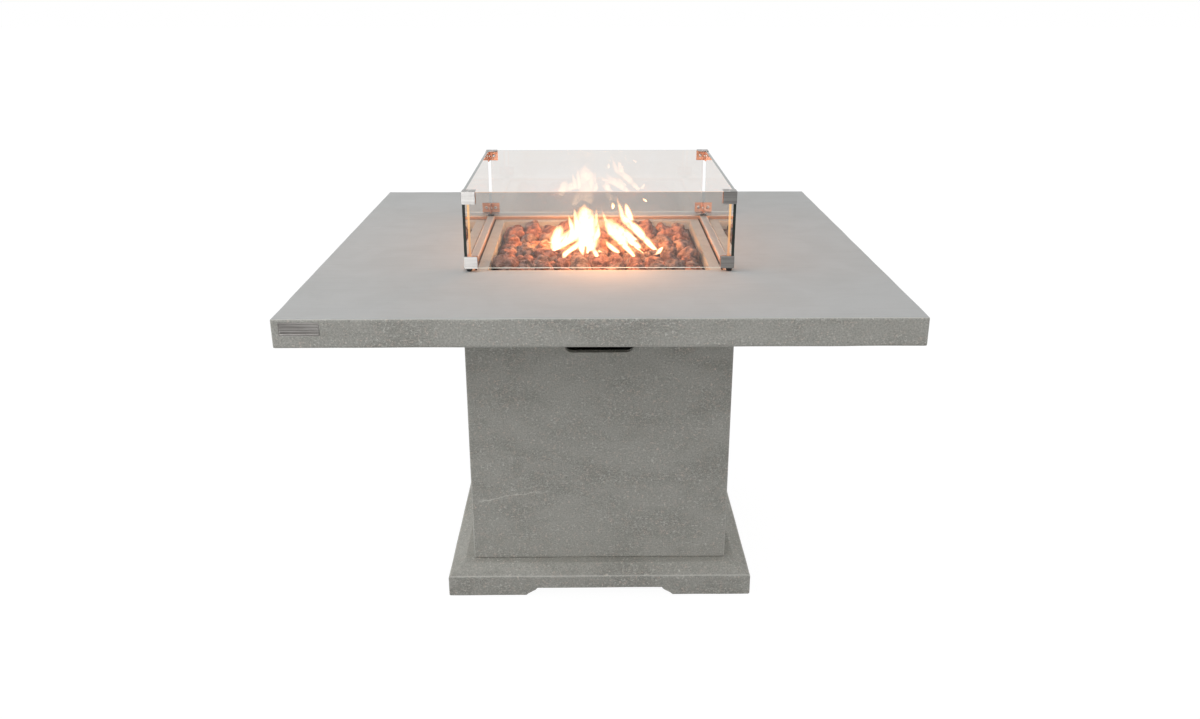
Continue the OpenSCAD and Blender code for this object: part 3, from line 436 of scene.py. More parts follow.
def flame():
    """Burning gas: white where it is thick, yellow and then orange where it thins out."""
    f = Finish("flame")
    heat = f.node("ShaderNodeAttribute", attribute_name="burn").outputs["Fac"]
    veil = f.node("ShaderNodeAttribute", attribute_name="veil").outputs["Fac"]
    licks = f.clouds(1, 3, 0.55, 1.2, at=f.stretched(46, 46, 15))
    colour = f.blend(heat, RIM_ORANGE, CORE_YELLOW)
    strength = f.span(heat, 0.25, 0.95, RIM_LIGHT, FLAME_LIGHT)
    light = f.node("ShaderNodeEmission", {"Color": colour, "Strength": strength}).outputs[0]
    clear = f.node("ShaderNodeBsdfTransparent").outputs[0]
    torn = f.span(f.math("ADD", licks, f.math("MULTIPLY", heat, 0.2)), 0.42, 0.7, 0.04, 1.0)
    return f.done(f.mixed(f.math("MULTIPLY", veil, torn), clear, light))


# Glass

GLASS_IOR = 1.5
# One mirror on a pane's outer face stands for the reflections of both faces
BOTH_FACES = 1.85
# What a pane lets through, and the fire's light in its faint haze, which is a painted glow
PANE_TINT = (0.902, 0.905, 0.904, 1.0)
HAZE_COLOUR = (1.0, 0.88, 0.79, 1.0)
HAZE_LIGHT = 0.85
# The strips at a pane's two ends that show the fire: their width, how far they fade, their light, the share
# of the glass that it covers, and the levels between which it turns paler
LIT_STRIP = {"width": 0.0055, "fade": 0.0015, "light": 1.1, "cover": 0.75, "low": 0.78, "high": 0.87}
# The edges' painted colours: dark where they are in shade, grey with mirrored light and orange with the
# fire's light
EDGE_DARK = tone(10, 12, 10)
EDGE_GREY = tone(162, 170, 170)
EDGE_LIT = tone(236, 150, 84)
# The painted colours of light, reflection and shade in the panes' edges: at the end that faces down the
# pane's axis and the one that faces up it, with the share of that one that is clear, and on the upper and the
# lower edge
PANE_EDGES = {
    "front": {
        "down_end": EDGE_LIT,
        "up_end": EDGE_LIT,
        "up_end_clear": 0.0,
        "upper": tone(206, 158, 122),
        "lower": tone(200, 210, 202),
    },
    "back": {
        "down_end": EDGE_GREY,
        "up_end": EDGE_GREY,
        "up_end_clear": 0.0,
        "upper": tone(176, 182, 184),
        "lower": tone(250, 255, 250),
    },
    "sides": {
        "down_end": EDGE_DARK,
        "up_end": EDGE_GREY,
        "up_end_clear": 0.8,
        "upper": tone(104, 112, 108),
        "lower": tone(150, 156, 152),
    },
}


def pane_face(f, outside, smears, haze):
    """A pane's clear face, which mirrors at a slant and has a faint haze of painted glow."""
    clear = f.node("ShaderNodeBsdfTransparent", {"Color": PANE_TINT}).outputs[0]
    smeared = f.span(smears, 0.3, 0.8, 0.0, 0.03)
    mirror = f.node("ShaderNodeBsdfGlossy", {"Color": WHITE, "Roughness": smeared}).outputs[0]
    fresnel = f.node("ShaderNodeFresnel", {"IOR": GLASS_IOR}).outputs[0]
    face = f.mixed(f.math("MULTIPLY", f.math("MULTIPLY", fresnel, BOTH_FACES), outside), clear, mirror)
    # Painted glow over the face, standing for the fire's light and the light mirrored in the glass
    painted_glow = f.node("ShaderNodeEmission", {"Color": HAZE_COLOUR, "Strength": HAZE_LIGHT}).outputs[0]
    return f.mixed(f.span(smears, 0.3, 0.8, 0.7 * haze, 1.3 * haze), face, painted_glow)


def lit_face(f, face, outside, ends, lit_from):
    """A pane's face with a strip of the fire's light at each end, from a place outwards."""
    paler = f.span(f.part(f.place, "Z"), LIT_STRIP["low"], LIT_STRIP["high"])
    warm = f.blend(paler, tone(222, 158, 112), tone(255, 200, 136))
    light = f.node("ShaderNodeEmission", {"Color": warm, "Strength": LIT_STRIP["light"]}).outputs[0]
    outward = f.math("ABSOLUTE", f.part(f.place, ends))
    strip = f.span(outward, lit_from, lit_from + LIT_STRIP["fade"], 0.0, LIT_STRIP["cover"])
    return f.mixed(f.math("MULTIPLY", strip, outside), face, light)


def pane_edge(f, upright, lengthwise, smears, colours, glow):
    """A pane's polished edges, each painted with the light, reflection and shade that show in it, and given a
    painted glow.
    """
    end_colour = f.blend(f.span(lengthwise, -0.5, 0.5), colours["down_end"], colours["up_end"])
    rim_colour = f.blend(f.span(upright, -0.5, 0.5), colours["lower"], colours["upper"])
    colour = f.blend(f.span(f.math("ABSOLUTE", upright), 0.4, 0.6), end_colour, rim_colour)
    colour = f.blend(f.span(smears, 0.4, 0.7, 0.0, 0.2), colour, tone(120, 136, 128))
    # The painted colour also glows, as the fire lights the edge
    inputs = {"Base Color": colour, "Roughness": 0.12, "Emission Color": colour, "Emission Strength": glow}
    return f.node("ShaderNodeBsdfPrincipled", inputs).outputs[0]


def pane_glass(name, across, ends, colours, glow=0.0, haze=0.0, lit_from=None):
    """Clear tempered glass for a pane that faces along one axis and has its ends along another.

    Its edges have painted colours of light and shade and a painted glow, its face has a haze of painted glow,
    and its ends are lit from a place outwards.
    """
    f = Finish(name)
    outside = f.math("SUBTRACT", 1.0, f.node("ShaderNodeNewGeometry").outputs["Backfacing"])
    outward = f.math("MULTIPLY_ADD", outside, 2.0, -1.0)
    upright = f.math("MULTIPLY", f.part(f.facing, "Z"), outward)
    lengthwise = f.math("MULTIPLY", f.part(f.facing, ends), outward)
    smears = f.clouds(9, 3, 0.6)
    face = pane_face(f, outside, smears, haze)
    if lit_from is not None:
        face = lit_face(f, face, outside, ends, lit_from)
    edge = pane_edge(f, upright, lengthwise, smears, colours, glow)
    is_face = f.span(f.math("ABSOLUTE", f.part(f.facing, across)), 0.4, 0.6)
    clear_end = f.span(lengthwise, 0.4, 0.6, 0.0, colours["up_end_clear"])
    return f.done(f.mixed(f.math("MAXIMUM", is_face, clear_end), edge, face))


# Shared helpers for meshes

# Faces that turn by less than this angle are one flat face
FLAT = math.radians(0.6)
# Points nearer than MERGE become one point, and a cut goes through points nearer than SNAP
MERGE = 0.00001
SNAP = 0.0001
# Eased edges: their steps, the shortest edge that is eased, and the angle up to which faces are shaded as one
EDGE_STEPS = 2
SHORTEST_EDGE = 0.002
SMOOTH_TO = math.radians(40)


def merged(node):
    """A copy of a node's surface, joined up, with its flat faces whole."""
    form = bmesh.new()
    form.from_mesh(NODES[node].data)
    bmesh.ops.remove_doubles(form, verts=form.verts, dist=MERGE)
    bmesh.ops.dissolve_limit(form, angle_limit=FLAT, verts=form.verts, edges=form.edges)
    return form


def soften(form, width, turn):
    """Rounds the longer edges of a form that turn by more than an angle in degrees."""
    edges = [
        edge
        for edge in form.edges
        if edge.is_manifold
        and edge.calc_face_angle() > math.radians(turn)
        and edge.calc_length() > SHORTEST_EDGE
    ]
    bmesh.ops.bevel(
        form,
        geom=edges,
        offset=width,
        segments=EDGE_STEPS,
        profile=0.5,
        affect="EDGES",
        clamp_overlap=False,
    )


def slice_up(form, spacing):
    """Cuts a form's faces along planes across X and Y, so that they can be bent a little."""
    low = Vector([min(vert.co[axis] for vert in form.verts) for axis in range(3)])
    high = Vector([max(vert.co[axis] for vert in form.verts) for axis in range(3)])
    for axis in range(2):
        count = int((high[axis] - low[axis]) / spacing)
        for cut in range(1, count):
            at = Vector((0.0, 0.0, 0.0))
            at[axis] = low[axis] + (high[axis] - low[axis]) * cut / count
            across = Vector((0.0, 0.0, 0.0))
            across[axis] = 1.0
            everything = form.verts[:] + form.edges[:] + form.faces[:]
            bmesh.ops.bisect_plane(form, geom=everything, plane_co=at, plane_no=across, dist=SNAP)


def uneven(form, amount, wave):
    """Moves a form's corners a little, as a hand-cast surface wanders."""
    for vert in form.verts:
        vert.co += noise.noise_vector(vert.co / wave) * amount


def settled(piece):
    """Turns a piece and its modifiers into a plain mesh."""
    graph = bpy.context.evaluated_depsgraph_get()
    mesh = bpy.data.meshes.new_from_object(piece.evaluated_get(graph))
    piece.modifiers.clear()
    piece.data = mesh
    mesh.name = piece.name
    return piece


def linked(name, data):
    """A new object in the scene."""
    thing = bpy.data.objects.new(name, data)
    bpy.context.scene.collection.objects.link(thing)
    return thing


def meshed(name, form, material):
    """A mesh with a material from a form, which is used up."""
    mesh = bpy.data.meshes.new(name)
    form.to_mesh(mesh)
    form.free()
    mesh.materials.append(material)
    return mesh


def new_piece(name, form, material):
    """A piece from a form, shaded smooth up to an angle, with its large faces kept flat."""
    mesh = meshed(name, form, material)
    mesh.shade_smooth()
    mesh.set_sharp_from_angle(angle=SMOOTH_TO)
    piece = linked(name, mesh)
    even = piece.modifiers.new("even_shading", "WEIGHTED_NORMAL")
    even.keep_sharp = True
    return settled(piece)


def stands_for(piece, node):
    """A piece takes the place and the body of a node, which is hidden."""
    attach(piece, BODY_OF[node])
    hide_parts(node)


# Castings

# How far the edges are eased, the least turn in degrees of such an edge, how closely the faces are cut up,
# and how far they wander
CAST_PIECES = {
    "tabletop": {"edge": 0.0009, "turn": 32, "spacing": 0.03, "wander": 0.0007},
    "access_door": {"edge": 0.0015, "turn": 32, "spacing": 0.03, "wander": 0.0004},
    "pedestal_shell": {"edge": 0.0015, "turn": 32, "spacing": 0.05, "wander": 0.0003},
    "plinth": {"edge": 0.0014, "turn": 15, "spacing": 0.03, "wander": 0.0006},
}
CAST_WAVE = 0.09
CAST_SEED = 5


def castings(material):
    """The concrete pieces, with eased edges and slightly uneven faces."""
    noise.seed_set(CAST_SEED)
    for node, sizes in CAST_PIECES.items():
        form = merged(node)
        soften(form, sizes["edge"], sizes["turn"])
        slice_up(form, sizes["spacing"])
        uneven(form, sizes["wander"], CAST_WAVE)
        stands_for(new_piece(f"{node}_cast", form, material), node)


# Folded metal

FOLD_EDGE = 0.0003
FOLD_TURN = 40


def folded_pieces(nodes, material):
    """Sheet pieces with their corners eased."""
    for node in nodes:
        form = merged(node)
        soften(form, FOLD_EDGE, FOLD_TURN)
        stands_for(new_piece(f"{node}_folded", form, material), node)


# Lava stones

# The inputs of a heap's tree: its rows and their pitch, a stone's radius, the level of its middle, how far it
# is moved up or down and sideways, and the seed of all its draws
HEAP_INPUTS = {
    "Rows": "NodeSocketInt",
    "Pitch": "NodeSocketFloat",
    "Radius": "NodeSocketFloat",
    "Level": "NodeSocketFloat",
    "Rise": "NodeSocketFloat",
    "Jitter": "NodeSocketFloat",
    "Seed": "NodeSocketInt",
}
STONE_HEAPS = {
    "lava_stones_top": {
        "Rows": 11,
        "Pitch": 0.0406,
        "Radius": 0.0230,
        "Level": 0.7270,
        "Rise": 0.005,
        "Jitter": 0.006,
        "Seed": 3,
    },
    "lava_stones_low": {
        "Rows": 13,
        "Pitch": 0.0352,
        "Radius": 0.0165,
        "Level": 0.7205,
        "Rise": 0.003,
        "Jitter": 0.008,
        "Seed": 41,
    },
}
STONE_DETAIL = {"lava_stones_top": 4, "lava_stones_low": 3}
STONE_SHAPES = 9
# The smallest and the largest stone as shares of the radius
STONE_LEAST = 0.68
STONE_MOST = 1.16
# A stone's two noises: how far apart two shapes draw theirs, its sizes, and how deep it goes
LUMPS = {"apart": 7.3, "scale": 0.85, "detail": 1.5, "roughness": 0.5, "depth": 1.5}
CRAGS = {"apart": 3.1, "scale": 2.6, "detail": 4.0, "roughness": 0.62, "depth": 0.5}
STONE_CORE = 0.94
# A stone shape's length and height: their means, how far they sway, and how far apart two shapes are
STONE_LENGTH = {"mean": 1.0, "sway": 0.12, "apart": 2.1}
STONE_HEIGHT = {"mean": 0.84, "sway": 0.1, "apart": 1.7}
# What is added to a heap's seed for each kind of draw
TURN_DRAW, SIZE_DRAW, SHAPE_DRAW, SHADE_DRAW = 1, 2, 3, 4


class Growth(Tree):
    """A geometry tree with named inputs for its sizes."""

    def __init__(self, name, inputs):
        super().__init__(bpy.data.node_groups.new(name, "GeometryNodeTree"))
        self.keys = {}
        for label, kind in inputs.items():
            socket = self.tree.interface.new_socket(label, in_out="INPUT", socket_type=kind)
            self.keys[label] = socket.identifier
        self.tree.interface.new_socket("Geometry", in_out="OUTPUT", socket_type="NodeSocketGeometry")
        self.given = self.node("NodeGroupInput").outputs
        self.end = self.node("NodeGroupOutput")

    def vector(self, how, first, second):
        """One step of arithmetic on two vectors."""
        return self.node("ShaderNodeVectorMath", {0: first, 1: second}, operation=how).outputs[0]

    def scaled(self, vector, by):
        """A vector times a number."""
        return self.node("ShaderNodeVectorMath", {0: vector, "Scale": by}, operation="SCALE").outputs[0]

    def chance(self, kind, low, high, seed):
        """A random value for each point or instance."""
        first = {"FLOAT_VECTOR": 0, "FLOAT": 2, "INT": 4}[kind]
        inputs = {first: low, first + 1: high, "Seed": seed}
        return self.node("FunctionNodeRandomValue", inputs, data_type=kind).outputs[first // 2]

    def grown(self, piece, values):
        """Runs the tree on a piece with the values of its inputs, and leaves a plain mesh."""
        modifier = piece.modifiers.new("growth", "NODES")
        modifier.node_group = self.tree
        for label, value in values.items():
            modifier[self.keys[label]] = value
        return settled(piece)


def relief(growth, place, number, sizes):
    """One noise over a stone's surface, from below to above zero."""
    inputs = {
        "Vector": place,
        "W": number * sizes["apart"],
        "Scale": sizes["scale"],
        "Detail": sizes["detail"],
        "Roughness": sizes["roughness"],
    }
    wave = growth.node("ShaderNodeTexNoise", inputs, noise_dimensions="4D").outputs["Fac"]
    return growth.math("MULTIPLY", growth.math("SUBTRACT", wave, 0.5), sizes["depth"])


def stone_shape(growth, number, detail):
    """One craggy stone of about unit radius, as a mesh socket."""
    ball = growth.node("GeometryNodeMeshIcoSphere", {"Radius": 1.0, "Subdivisions": detail}).outputs["Mesh"]
    place = growth.node("GeometryNodeInputPosition").outputs[0]
    swell = relief(growth, place, number, LUMPS)
    chips = relief(growth, place, number, CRAGS)
    size = growth.math("ADD", STONE_CORE, growth.math("ADD", swell, chips))
    length = STONE_LENGTH["mean"] + STONE_LENGTH["sway"] * math.sin(number * STONE_LENGTH["apart"])
    height = STONE_HEIGHT["mean"] + STONE_HEIGHT["sway"] * math.cos(number * STONE_HEIGHT["apart"])
    moved = growth.scaled(growth.vector("MULTIPLY", place, (length, 1.0, height)), size)
    return growth.node("GeometryNodeSetPosition", {"Geometry": ball, "Position": moved}).outputs[0]


def stone_growth(name, detail, material):
    """Stones on a loose grid, each one a shape, a turn, a size and a shade drawn by lot."""
    g = Growth(name, HEAP_INPUTS)
    given = g.given

    def drawn(draw, kind, low, high):
        return g.chance(kind, low, high, g.math("ADD", given["Seed"], draw))

    side = g.math("MULTIPLY", g.math("SUBTRACT", given["Rows"], 1.0), given["Pitch"])
    grid = g.node(
        "GeometryNodeMeshGrid",
        {"Size X": side, "Size Y": side, "Vertices X": given["Rows"], "Vertices Y": given["Rows"]},
    ).outputs["Mesh"]
    limits = {0: given["Jitter"], 1: given["Jitter"], 2: given["Rise"]}
    reach = g.node("ShaderNodeCombineXYZ", limits).outputs[0]
    anywhere = g.chance("FLOAT_VECTOR", (-1.0, -1.0, -1.0), (1.0, 1.0, 1.0), given["Seed"])
    lift = g.node("ShaderNodeCombineXYZ", {2: given["Level"]}).outputs[0]
    offset = g.vector("ADD", g.vector("MULTIPLY", anywhere, reach), lift)
    points = g.node("GeometryNodeSetPosition", {"Geometry": grid, "Offset": offset}).outputs[0]
    shapes = g.node("GeometryNodeGeometryToInstance")
    for number in range(STONE_SHAPES):
        g.feed(shapes.inputs[0], stone_shape(g, number, detail))
    share = drawn(SIZE_DRAW, "FLOAT", STONE_LEAST, STONE_MOST)
    stones = g.node(
        "GeometryNodeInstanceOnPoints",
        {
            "Points": points,
            "Instance": shapes.outputs[0],
            "Pick Instance": True,
            "Instance Index": drawn(SHAPE_DRAW, "INT", 0, STONE_SHAPES - 1),
            "Rotation": drawn(TURN_DRAW, "FLOAT_VECTOR", (0.0, 0.0, 0.0), (math.tau, math.tau, math.tau)),
            "Scale": g.math("MULTIPLY", given["Radius"], share),
        },
    ).outputs[0]
    shaded = g.node(
        "GeometryNodeStoreNamedAttribute",
        {"Geometry": stones, "Name": "stone_shade", "Value": drawn(SHADE_DRAW, "FLOAT", 0.0, 1.0)},
        data_type="FLOAT",
        domain="INSTANCE",
    ).outputs[0]
    whole = g.node("GeometryNodeRealizeInstances", {"Geometry": shaded}).outputs[0]
    smooth = g.node("GeometryNodeSetShadeSmooth", {"Geometry": whole}).outputs[0]
    dressed = g.node("GeometryNodeSetMaterial", {"Geometry": smooth, "Material": material}).outputs[0]
    g.feed(g.end.inputs[0], dressed)
    return g


def lava_stones(material):
    """The two heaps of loose stones, which stand for the solid ones."""
    for name, sizes in STONE_HEAPS.items():
        piece = linked(name, bpy.data.meshes.new(name))
        stone_growth(name, STONE_DETAIL[name], material).grown(piece, sizes)
        stands_for(piece, "lava_rocks")


# Flames

# The tongues as drawn from the front, in mm: the depths of the foot and the tip, and the middle line from the
# foot to the tip, as points across, up from the stones, and width
TONGUES = (
    # Three broad bodies
    (-60, -20, ((-104, 2, 14), (-84, 16, 44), (-62, 32, 58), (-46, 50, 36), (-41, 68, 8))),
    (-70, 0, ((-18, -8, 14), (-25, 14, 44), (-29, 44, 56), (-29, 74, 48), (-30, 96, 24), (-32, 110, 4))),
    (-60, -20, ((98, 2, 10), (76, 20, 28), (57, 40, 38), (40, 58, 24), (28, 76, 5))),
    # The left of the fire
    (-20, -10, ((-101, 10, 13), (-97, 25, 26), (-92, 41, 25), (-89, 54, 17), (-87, 60, 4))),
    (-20, -20, ((-90, 10, 9), (-108, 17, 9), (-122, 18, 2))),
    (-76, -20, ((-108, -4, 7), (-90, 7, 24), (-68, 23, 28), (-46, 36, 24), (-37, 48, 9))),
    (-148, -100, ((-82, -22, 4), (-75, -8, 15), (-57, 5, 22), (-42, 19, 13), (-36, 28, 4))),
    (-10, 0, ((-47, 32, 13), (-49, 59, 11), (-52, 81, 10), (-54, 98, 2))),
    (-10, -10, ((-58, 32, 13), (-61, 54, 11), (-64, 68, 8), (-68, 83, 1))),
    # Its middle
    (-117, 40, (
        (-36, -14, 4), (-39, 10, 18), (-31, 36, 29), (-27, 63, 33),
        (-28, 88, 33), (-31, 101, 24), (-32, 106, 8),
    )),
    (0, 40, ((-18, 32, 18), (-15, 54, 15), (-14, 77, 13), (-12, 92, 3))),
    (-20, 20, ((-8, 21, 7), (-2, 36, 15), (-3, 59, 11), (-4, 81, 8), (-4, 99, 1))),
    (-96, -60, ((-26, -9, 4), (-23, 5, 12), (-18, 21, 13), (-13, 34, 4))),
    (-161, -140, ((-1, -25, 2), (-5, -13, 10), (-10, -2, 11), (-14, 10, 3))),
    (-129, -120, ((18, -17, 3), (9, -12, 13), (3, -4, 9), (0, 1, 2))),
    # Its right
    (-92, -70, ((49, -8, 3), (40, -3, 15), (29, 7, 17), (21, 16, 9), (17, 22, 2))),
    (-153, 60, (
        (87, -23, 2), (75, -8, 11), (59, 10, 20), (44, 32, 33),
        (29, 50, 26), (19, 68, 11), (12, 86, 7), (7, 106, 1),
    )),
    (0, 20, ((32, 35, 20), (29, 50, 16), (27, 62, 11), (26, 72, 2))),
    (-80, -30, (
        (137, -5, 7), (125, 5, 14), (108, 23, 20), (86, 48, 28), (70, 63, 28),
        (57, 77, 15), (51, 95, 10), (45, 112, 6), (42, 127, 1),
    )),
    (-40, -20, ((73, 68, 17), (69, 86, 15), (65, 101, 10), (62, 110, 2))),
    (-60, -60, ((88, 22, 3), (77, 30, 12), (67, 39, 13), (61, 49, 3))),
    (-96, -80, ((105, -9, 1), (90, 2, 6), (75, 14, 11), (67, 21, 4))),
    (-110, -110, ((147, 6, 2), (142, 0, 10), (136, -9, 10), (121, -14, 2))),
    # Behind the others, seen mostly in the back pane's mirror
    (90, 90, ((-64, 30, 8), (-56, 42, 26), (-48, 56, 30), (-42, 72, 20), (-38, 86, 5))),
    (90, 90, ((-22, 32, 10), (-26, 48, 36), (-28, 66, 40), (-28, 84, 26), (-29, 98, 6))),
    (90, 90, ((52, 30, 8), (46, 42, 24), (38, 54, 26), (30, 66, 16), (24, 78, 4))),
    # Two wisps that have come loose
    (0, 0, ((110, 114, 2), (106, 118, 7), (102, 122, 2))),
    (0, 0, ((33, 97, 2), (34, 105, 8), (32, 113, 2))),
)
STONE_LEVEL = 742
# Depth of the drawing, how far a point further back is drawn higher for each mm, and the eye's distance
DRAWN_AT = -60
DRAWN_SLOPE = 0.247
EYE_DISTANCE = 2530
FLAME_ROWS = 30
FLAME_COLUMNS = 10
# A tongue's two crossing sheets and its halo: their turns, shares of its width, bodies and heats
FLAME_SHEETS = ((0.0, 1.5, 0.75, 1.0), (1.35, 1.0, 0.5, 1.0), (0.1, 2.8, 0.08, 0.2))
# The shares of a tongue over which its foot and its tip fade, its least width, and how far a sheet is bowed
FOOT_FADE = 0.1
TIP_FADE = 0.4
LEAST_WIDTH = 0.5
SHEET_BOW = 0.3
# How the heat falls towards a sheet's rim and a tongue's tip, and how the veil gains towards a sheet's middle
RIM_COOLING = 0.7
TIP_COOLING = 0.4
VEIL_GAIN = 1.25


def along(points, share):
    """The point at a share of a smooth line through points."""
    last = len(points) - 1
    step = min(int(share * last), last - 1)
    t = share * last - step
    before, start, stop, after = (Vector(points[min(max(step + k, 0), last)]) for k in (-1, 0, 1, 2))
    bend = 2 * start + (stop - before) * t + (2 * before - 5 * start + 4 * stop - after) * t ** 2
    return (bend + (3 * start - before - 3 * stop + after) * t ** 3) / 2


def flame_sheet(form, layers, tongue, turn, share, body, hottest):
    """One curved sheet of a tongue of flame, turned about its middle line."""
    heat, veil = layers
    near, far, points = tongue
    across = Vector((math.cos(turn), math.sin(turn), 0.0))
    away = Vector((-across.y, across.x, 0.0))
    grid = []
    for row in range(FLAME_ROWS + 1):
        t = row / FLAME_ROWS
        sideways, up, width = along(points, t)
        depth = near + (far - near) * t
        back = depth - DRAWN_AT
        level = STONE_LEVEL + up - DRAWN_SLOPE * back
        middle = Vector((sideways * (1 + back / EYE_DISTANCE), depth, level))
        half = 0.5 * max(width, LEAST_WIDTH) * share
        fade = min(1.0, t / FOOT_FADE) * min(1.0, (1.0 - t) / TIP_FADE)
        line = []
        for column in range(FLAME_COLUMNS + 1):
            s = 2.0 * column / FLAME_COLUMNS - 1.0
            place = middle + across * (half * s) + away * (SHEET_BOW * half * (s * s - 0.5))
            vert = form.verts.new(place / 1000)
            rim = 1.0 - s * s
            vert[heat] = rim ** RIM_COOLING * (1.0 - TIP_COOLING * t) * hottest
            vert[veil] = min(1.0, VEIL_GAIN * rim) ** 2 * fade * body
            line.append(vert)
        grid.append(line)
    for low, high in zip(grid, grid[1:]):
        for column in range(FLAME_COLUMNS):
            form.faces.new((low[column], low[column + 1], high[column + 1], high[column]))


def flames(material):
    """All tongues of flame as one piece, which casts no shadow and lights nothing by itself."""
    form = bmesh.new()
    layers = (form.verts.layers.float.new("burn"), form.verts.layers.float.new("veil"))
    for tongue in TONGUES:
        for sheet in FLAME_SHEETS:
            flame_sheet(form, layers, tongue, *sheet)
    mesh = meshed("flames", form, material)
    mesh.shade_smooth()
    piece = linked("flames", mesh)
    piece.visible_shadow = False
    piece.visible_diffuse = False
    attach(piece, BODY_OF["burner_ring"])


# All pieces and their finishes


def dress(nodes, material):
    """Gives a finish to nodes that keep their own shape."""
    for node in nodes:
        materials = NODES[node].data.materials
        materials.clear()
        materials.append(material)


def dress_panes():
    """Gives the wind guard's four panes their glass."""
    lit_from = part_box("glass_front")[1].x - LIT_STRIP["width"]
    front = pane_glass("glass_front", "Y", "X", PANE_EDGES["front"], glow=0.4, haze=0.01, lit_from=lit_from)
    back = pane_glass("glass_back", "Y", "X", PANE_EDGES["back"], glow=0.15, haze=0.19)
    sides = pane_glass("glass_side", "X", "Y", PANE_EDGES["sides"], haze=0.01)
    dress(["glass_front"], front)
    dress(["glass_back"], back)
    dress(["glass_left", "glass_right"], sides)


def table():
    """Dresses the nodes that stay as they are, and makes the pieces that stand for the others."""
    clip_steel = brushed_steel("clip_steel", tone(152, 150, 148), "X", 0.46, 0.9)
    # Painted reflection: the brackets' copper colour stands for the fire's light mirrored in their steel
    fire_lit_steel = brushed_steel("heat_tinted_steel", tone(212, 140, 102), "X", 0.46, 0.6)
    stainless = brushed_steel("stainless", tone(172, 166, 158), "Y", 0.36)
    plate_metal = brushed_steel("plate_metal", tone(99, 96, 93), "X", 0.4)
    stone = lava("lava_stone")
    by_slot = {
        "zinc_steel": plated_steel(),
        "stainless": stainless,
        "brass": machined_brass(),
        "black_plastic": moulded("black_plastic", tone(24, 24, 25), tone(38, 38, 39), 0.46),
        "rubber": moulded("foot_rubber", tone(16, 16, 16), tone(30, 29, 29), 0.72, 500.0),
        "lead_rubber": moulded("lead_insulation", tone(20, 20, 21), tone(34, 33, 33), 0.6),
        "ferrite": moulded("ferrite", tone(52, 52, 54), tone(74, 72, 72), 0.62, 300.0),
        "clip_steel": clip_steel,
        "lava": stone,
        "plate_metal": plate_metal,
    }
    for node, slot in SLOT_OF.items():
        if slot in by_slot:
            dress([node], by_slot[slot])
    # The bed under the stones, darkened with painted shade for the gaps between them
    dress(["lava_bed"], lava("lava_soot", 0.7))
    dress(["clip_screws"], brushed_steel("screw_steel", tone(222, 219, 215), "X", 0.28))
    dress(["spark_electrode"], glazed_porcelain())
    dress(["burner_pan"], coated_steel())
    dress_panes()
    castings(concrete())
    places = [f"{row}_{corner}" for row in ("bottom", "top") for corner in CORNERS]
    folded_pieces([f"clip_{place}" for place in places], clip_steel)
    folded_pieces([f"bracket_{place}" for place in places], fire_lit_steel)
    folded_pieces(["edge_plate"], plate_metal)
    folded_pieces(["control_panel"], stainless)
    lava_stones(stone)
    flames(flame())


# Floor, light and camera

FLOOR_SIZE = 60.0
FLOOR_CUTS = 8
# The floor's two greys, how much of its look is its own light, and how bright that is
FLOOR_GREYS = ((0.43, 0.43, 0.43, 1.0), (0.45, 0.45, 0.45, 1.0))
FLOOR_OWN_SHARE = 0.80
FLOOR_OWN_LIGHT = 1.2
SKY_LIGHT = 0.75
KEY_LAMP = {"at": (-3.2, -0.6, 2.6), "size": 2.6, "power": 26.0}
LAMP_AIM = Vector((0.0, 0.0, 0.6))
# The places and powers of the lamps that stand for the fire's light
FIRE_LAMPS = (
    ((-0.090, -0.020, 0.812), 1.9),
    ((0.085, -0.050, 0.805), 1.4),
    ((0.010, -0.210, 0.870), 1.8),
    ((0.000, 0.170, 0.860), 2.4),
)
FIRE_COLOUR = (1.0, 0.39, 0.12)
FIRE_LAMP_SIZE = 0.03
# The card that only mirrors see: its sizes, its far and near end, its lift off the floor, its light and the
# light that is added high on the left
CARD = {"width": 5.0, "height": 6.0, "far": -3.4, "near": -1.2, "lift": 0.002, "light": 0.75, "added": 6.0}
# The places across and up between which that light begins, and those across between which the card turns
# dark, with the share of its light that is left there
CARD_LEFT = (-0.3, 0.3)
CARD_HIGH = (0.6, 1.6)
CARD_DARK = (0.2, 0.8)
CARD_DARK_SHARE = 0.12
# The flames are many thin sheets, one behind the other
SEE_THROUGH_DEPTH = 48


def seen_directly(tree):
    """A socket that is 1 for what the camera sees, straight, mirrored or through glass."""
    path = tree.node("ShaderNodeLightPath").outputs
    mirrored = tree.math("MAXIMUM", path["Is Camera Ray"], path["Is Glossy Ray"])
    return tree.math("MAXIMUM", mirrored, path["Is Transmission Ray"])


def floor():
    """A plain white floor that keeps a soft shadow."""
    f = Finish("studio_floor")
    grain = f.clouds(3, 2)
    pale = f.blend(f.span(grain, 0.3, 0.7), *FLOOR_GREYS)
    matt = f.node("ShaderNodeBsdfDiffuse", {"Color": pale}).outputs[0]
    own = f.node("ShaderNodeEmission", {"Color": WHITE, "Strength": FLOOR_OWN_LIGHT}).outputs[0]
    shown = f.mixed(FLOOR_OWN_SHARE, matt, own)
    material = f.done(f.mixed(seen_directly(f), matt, shown))
    form = bmesh.new()
    bmesh.ops.create_grid(form, x_segments=FLOOR_CUTS, y_segments=FLOOR_CUTS, size=FLOOR_SIZE / 2)
    linked("floor", meshed("floor", form, material))


def sky():
    """A surround that looks white and lights the table a little less."""
    world = bpy.data.worlds.new("studio")
    bpy.context.scene.world = world
    world.use_nodes = True
    world.node_tree.nodes.clear()
    tree = Tree(world.node_tree)
    lights = [
        tree.node("ShaderNodeBackground", {"Color": WHITE, "Strength": strength}).outputs[0]
        for strength in (SKY_LIGHT, 1.0)
    ]
    tree.node("ShaderNodeOutputWorld", {"Surface": tree.mixed(seen_directly(tree), *lights)})


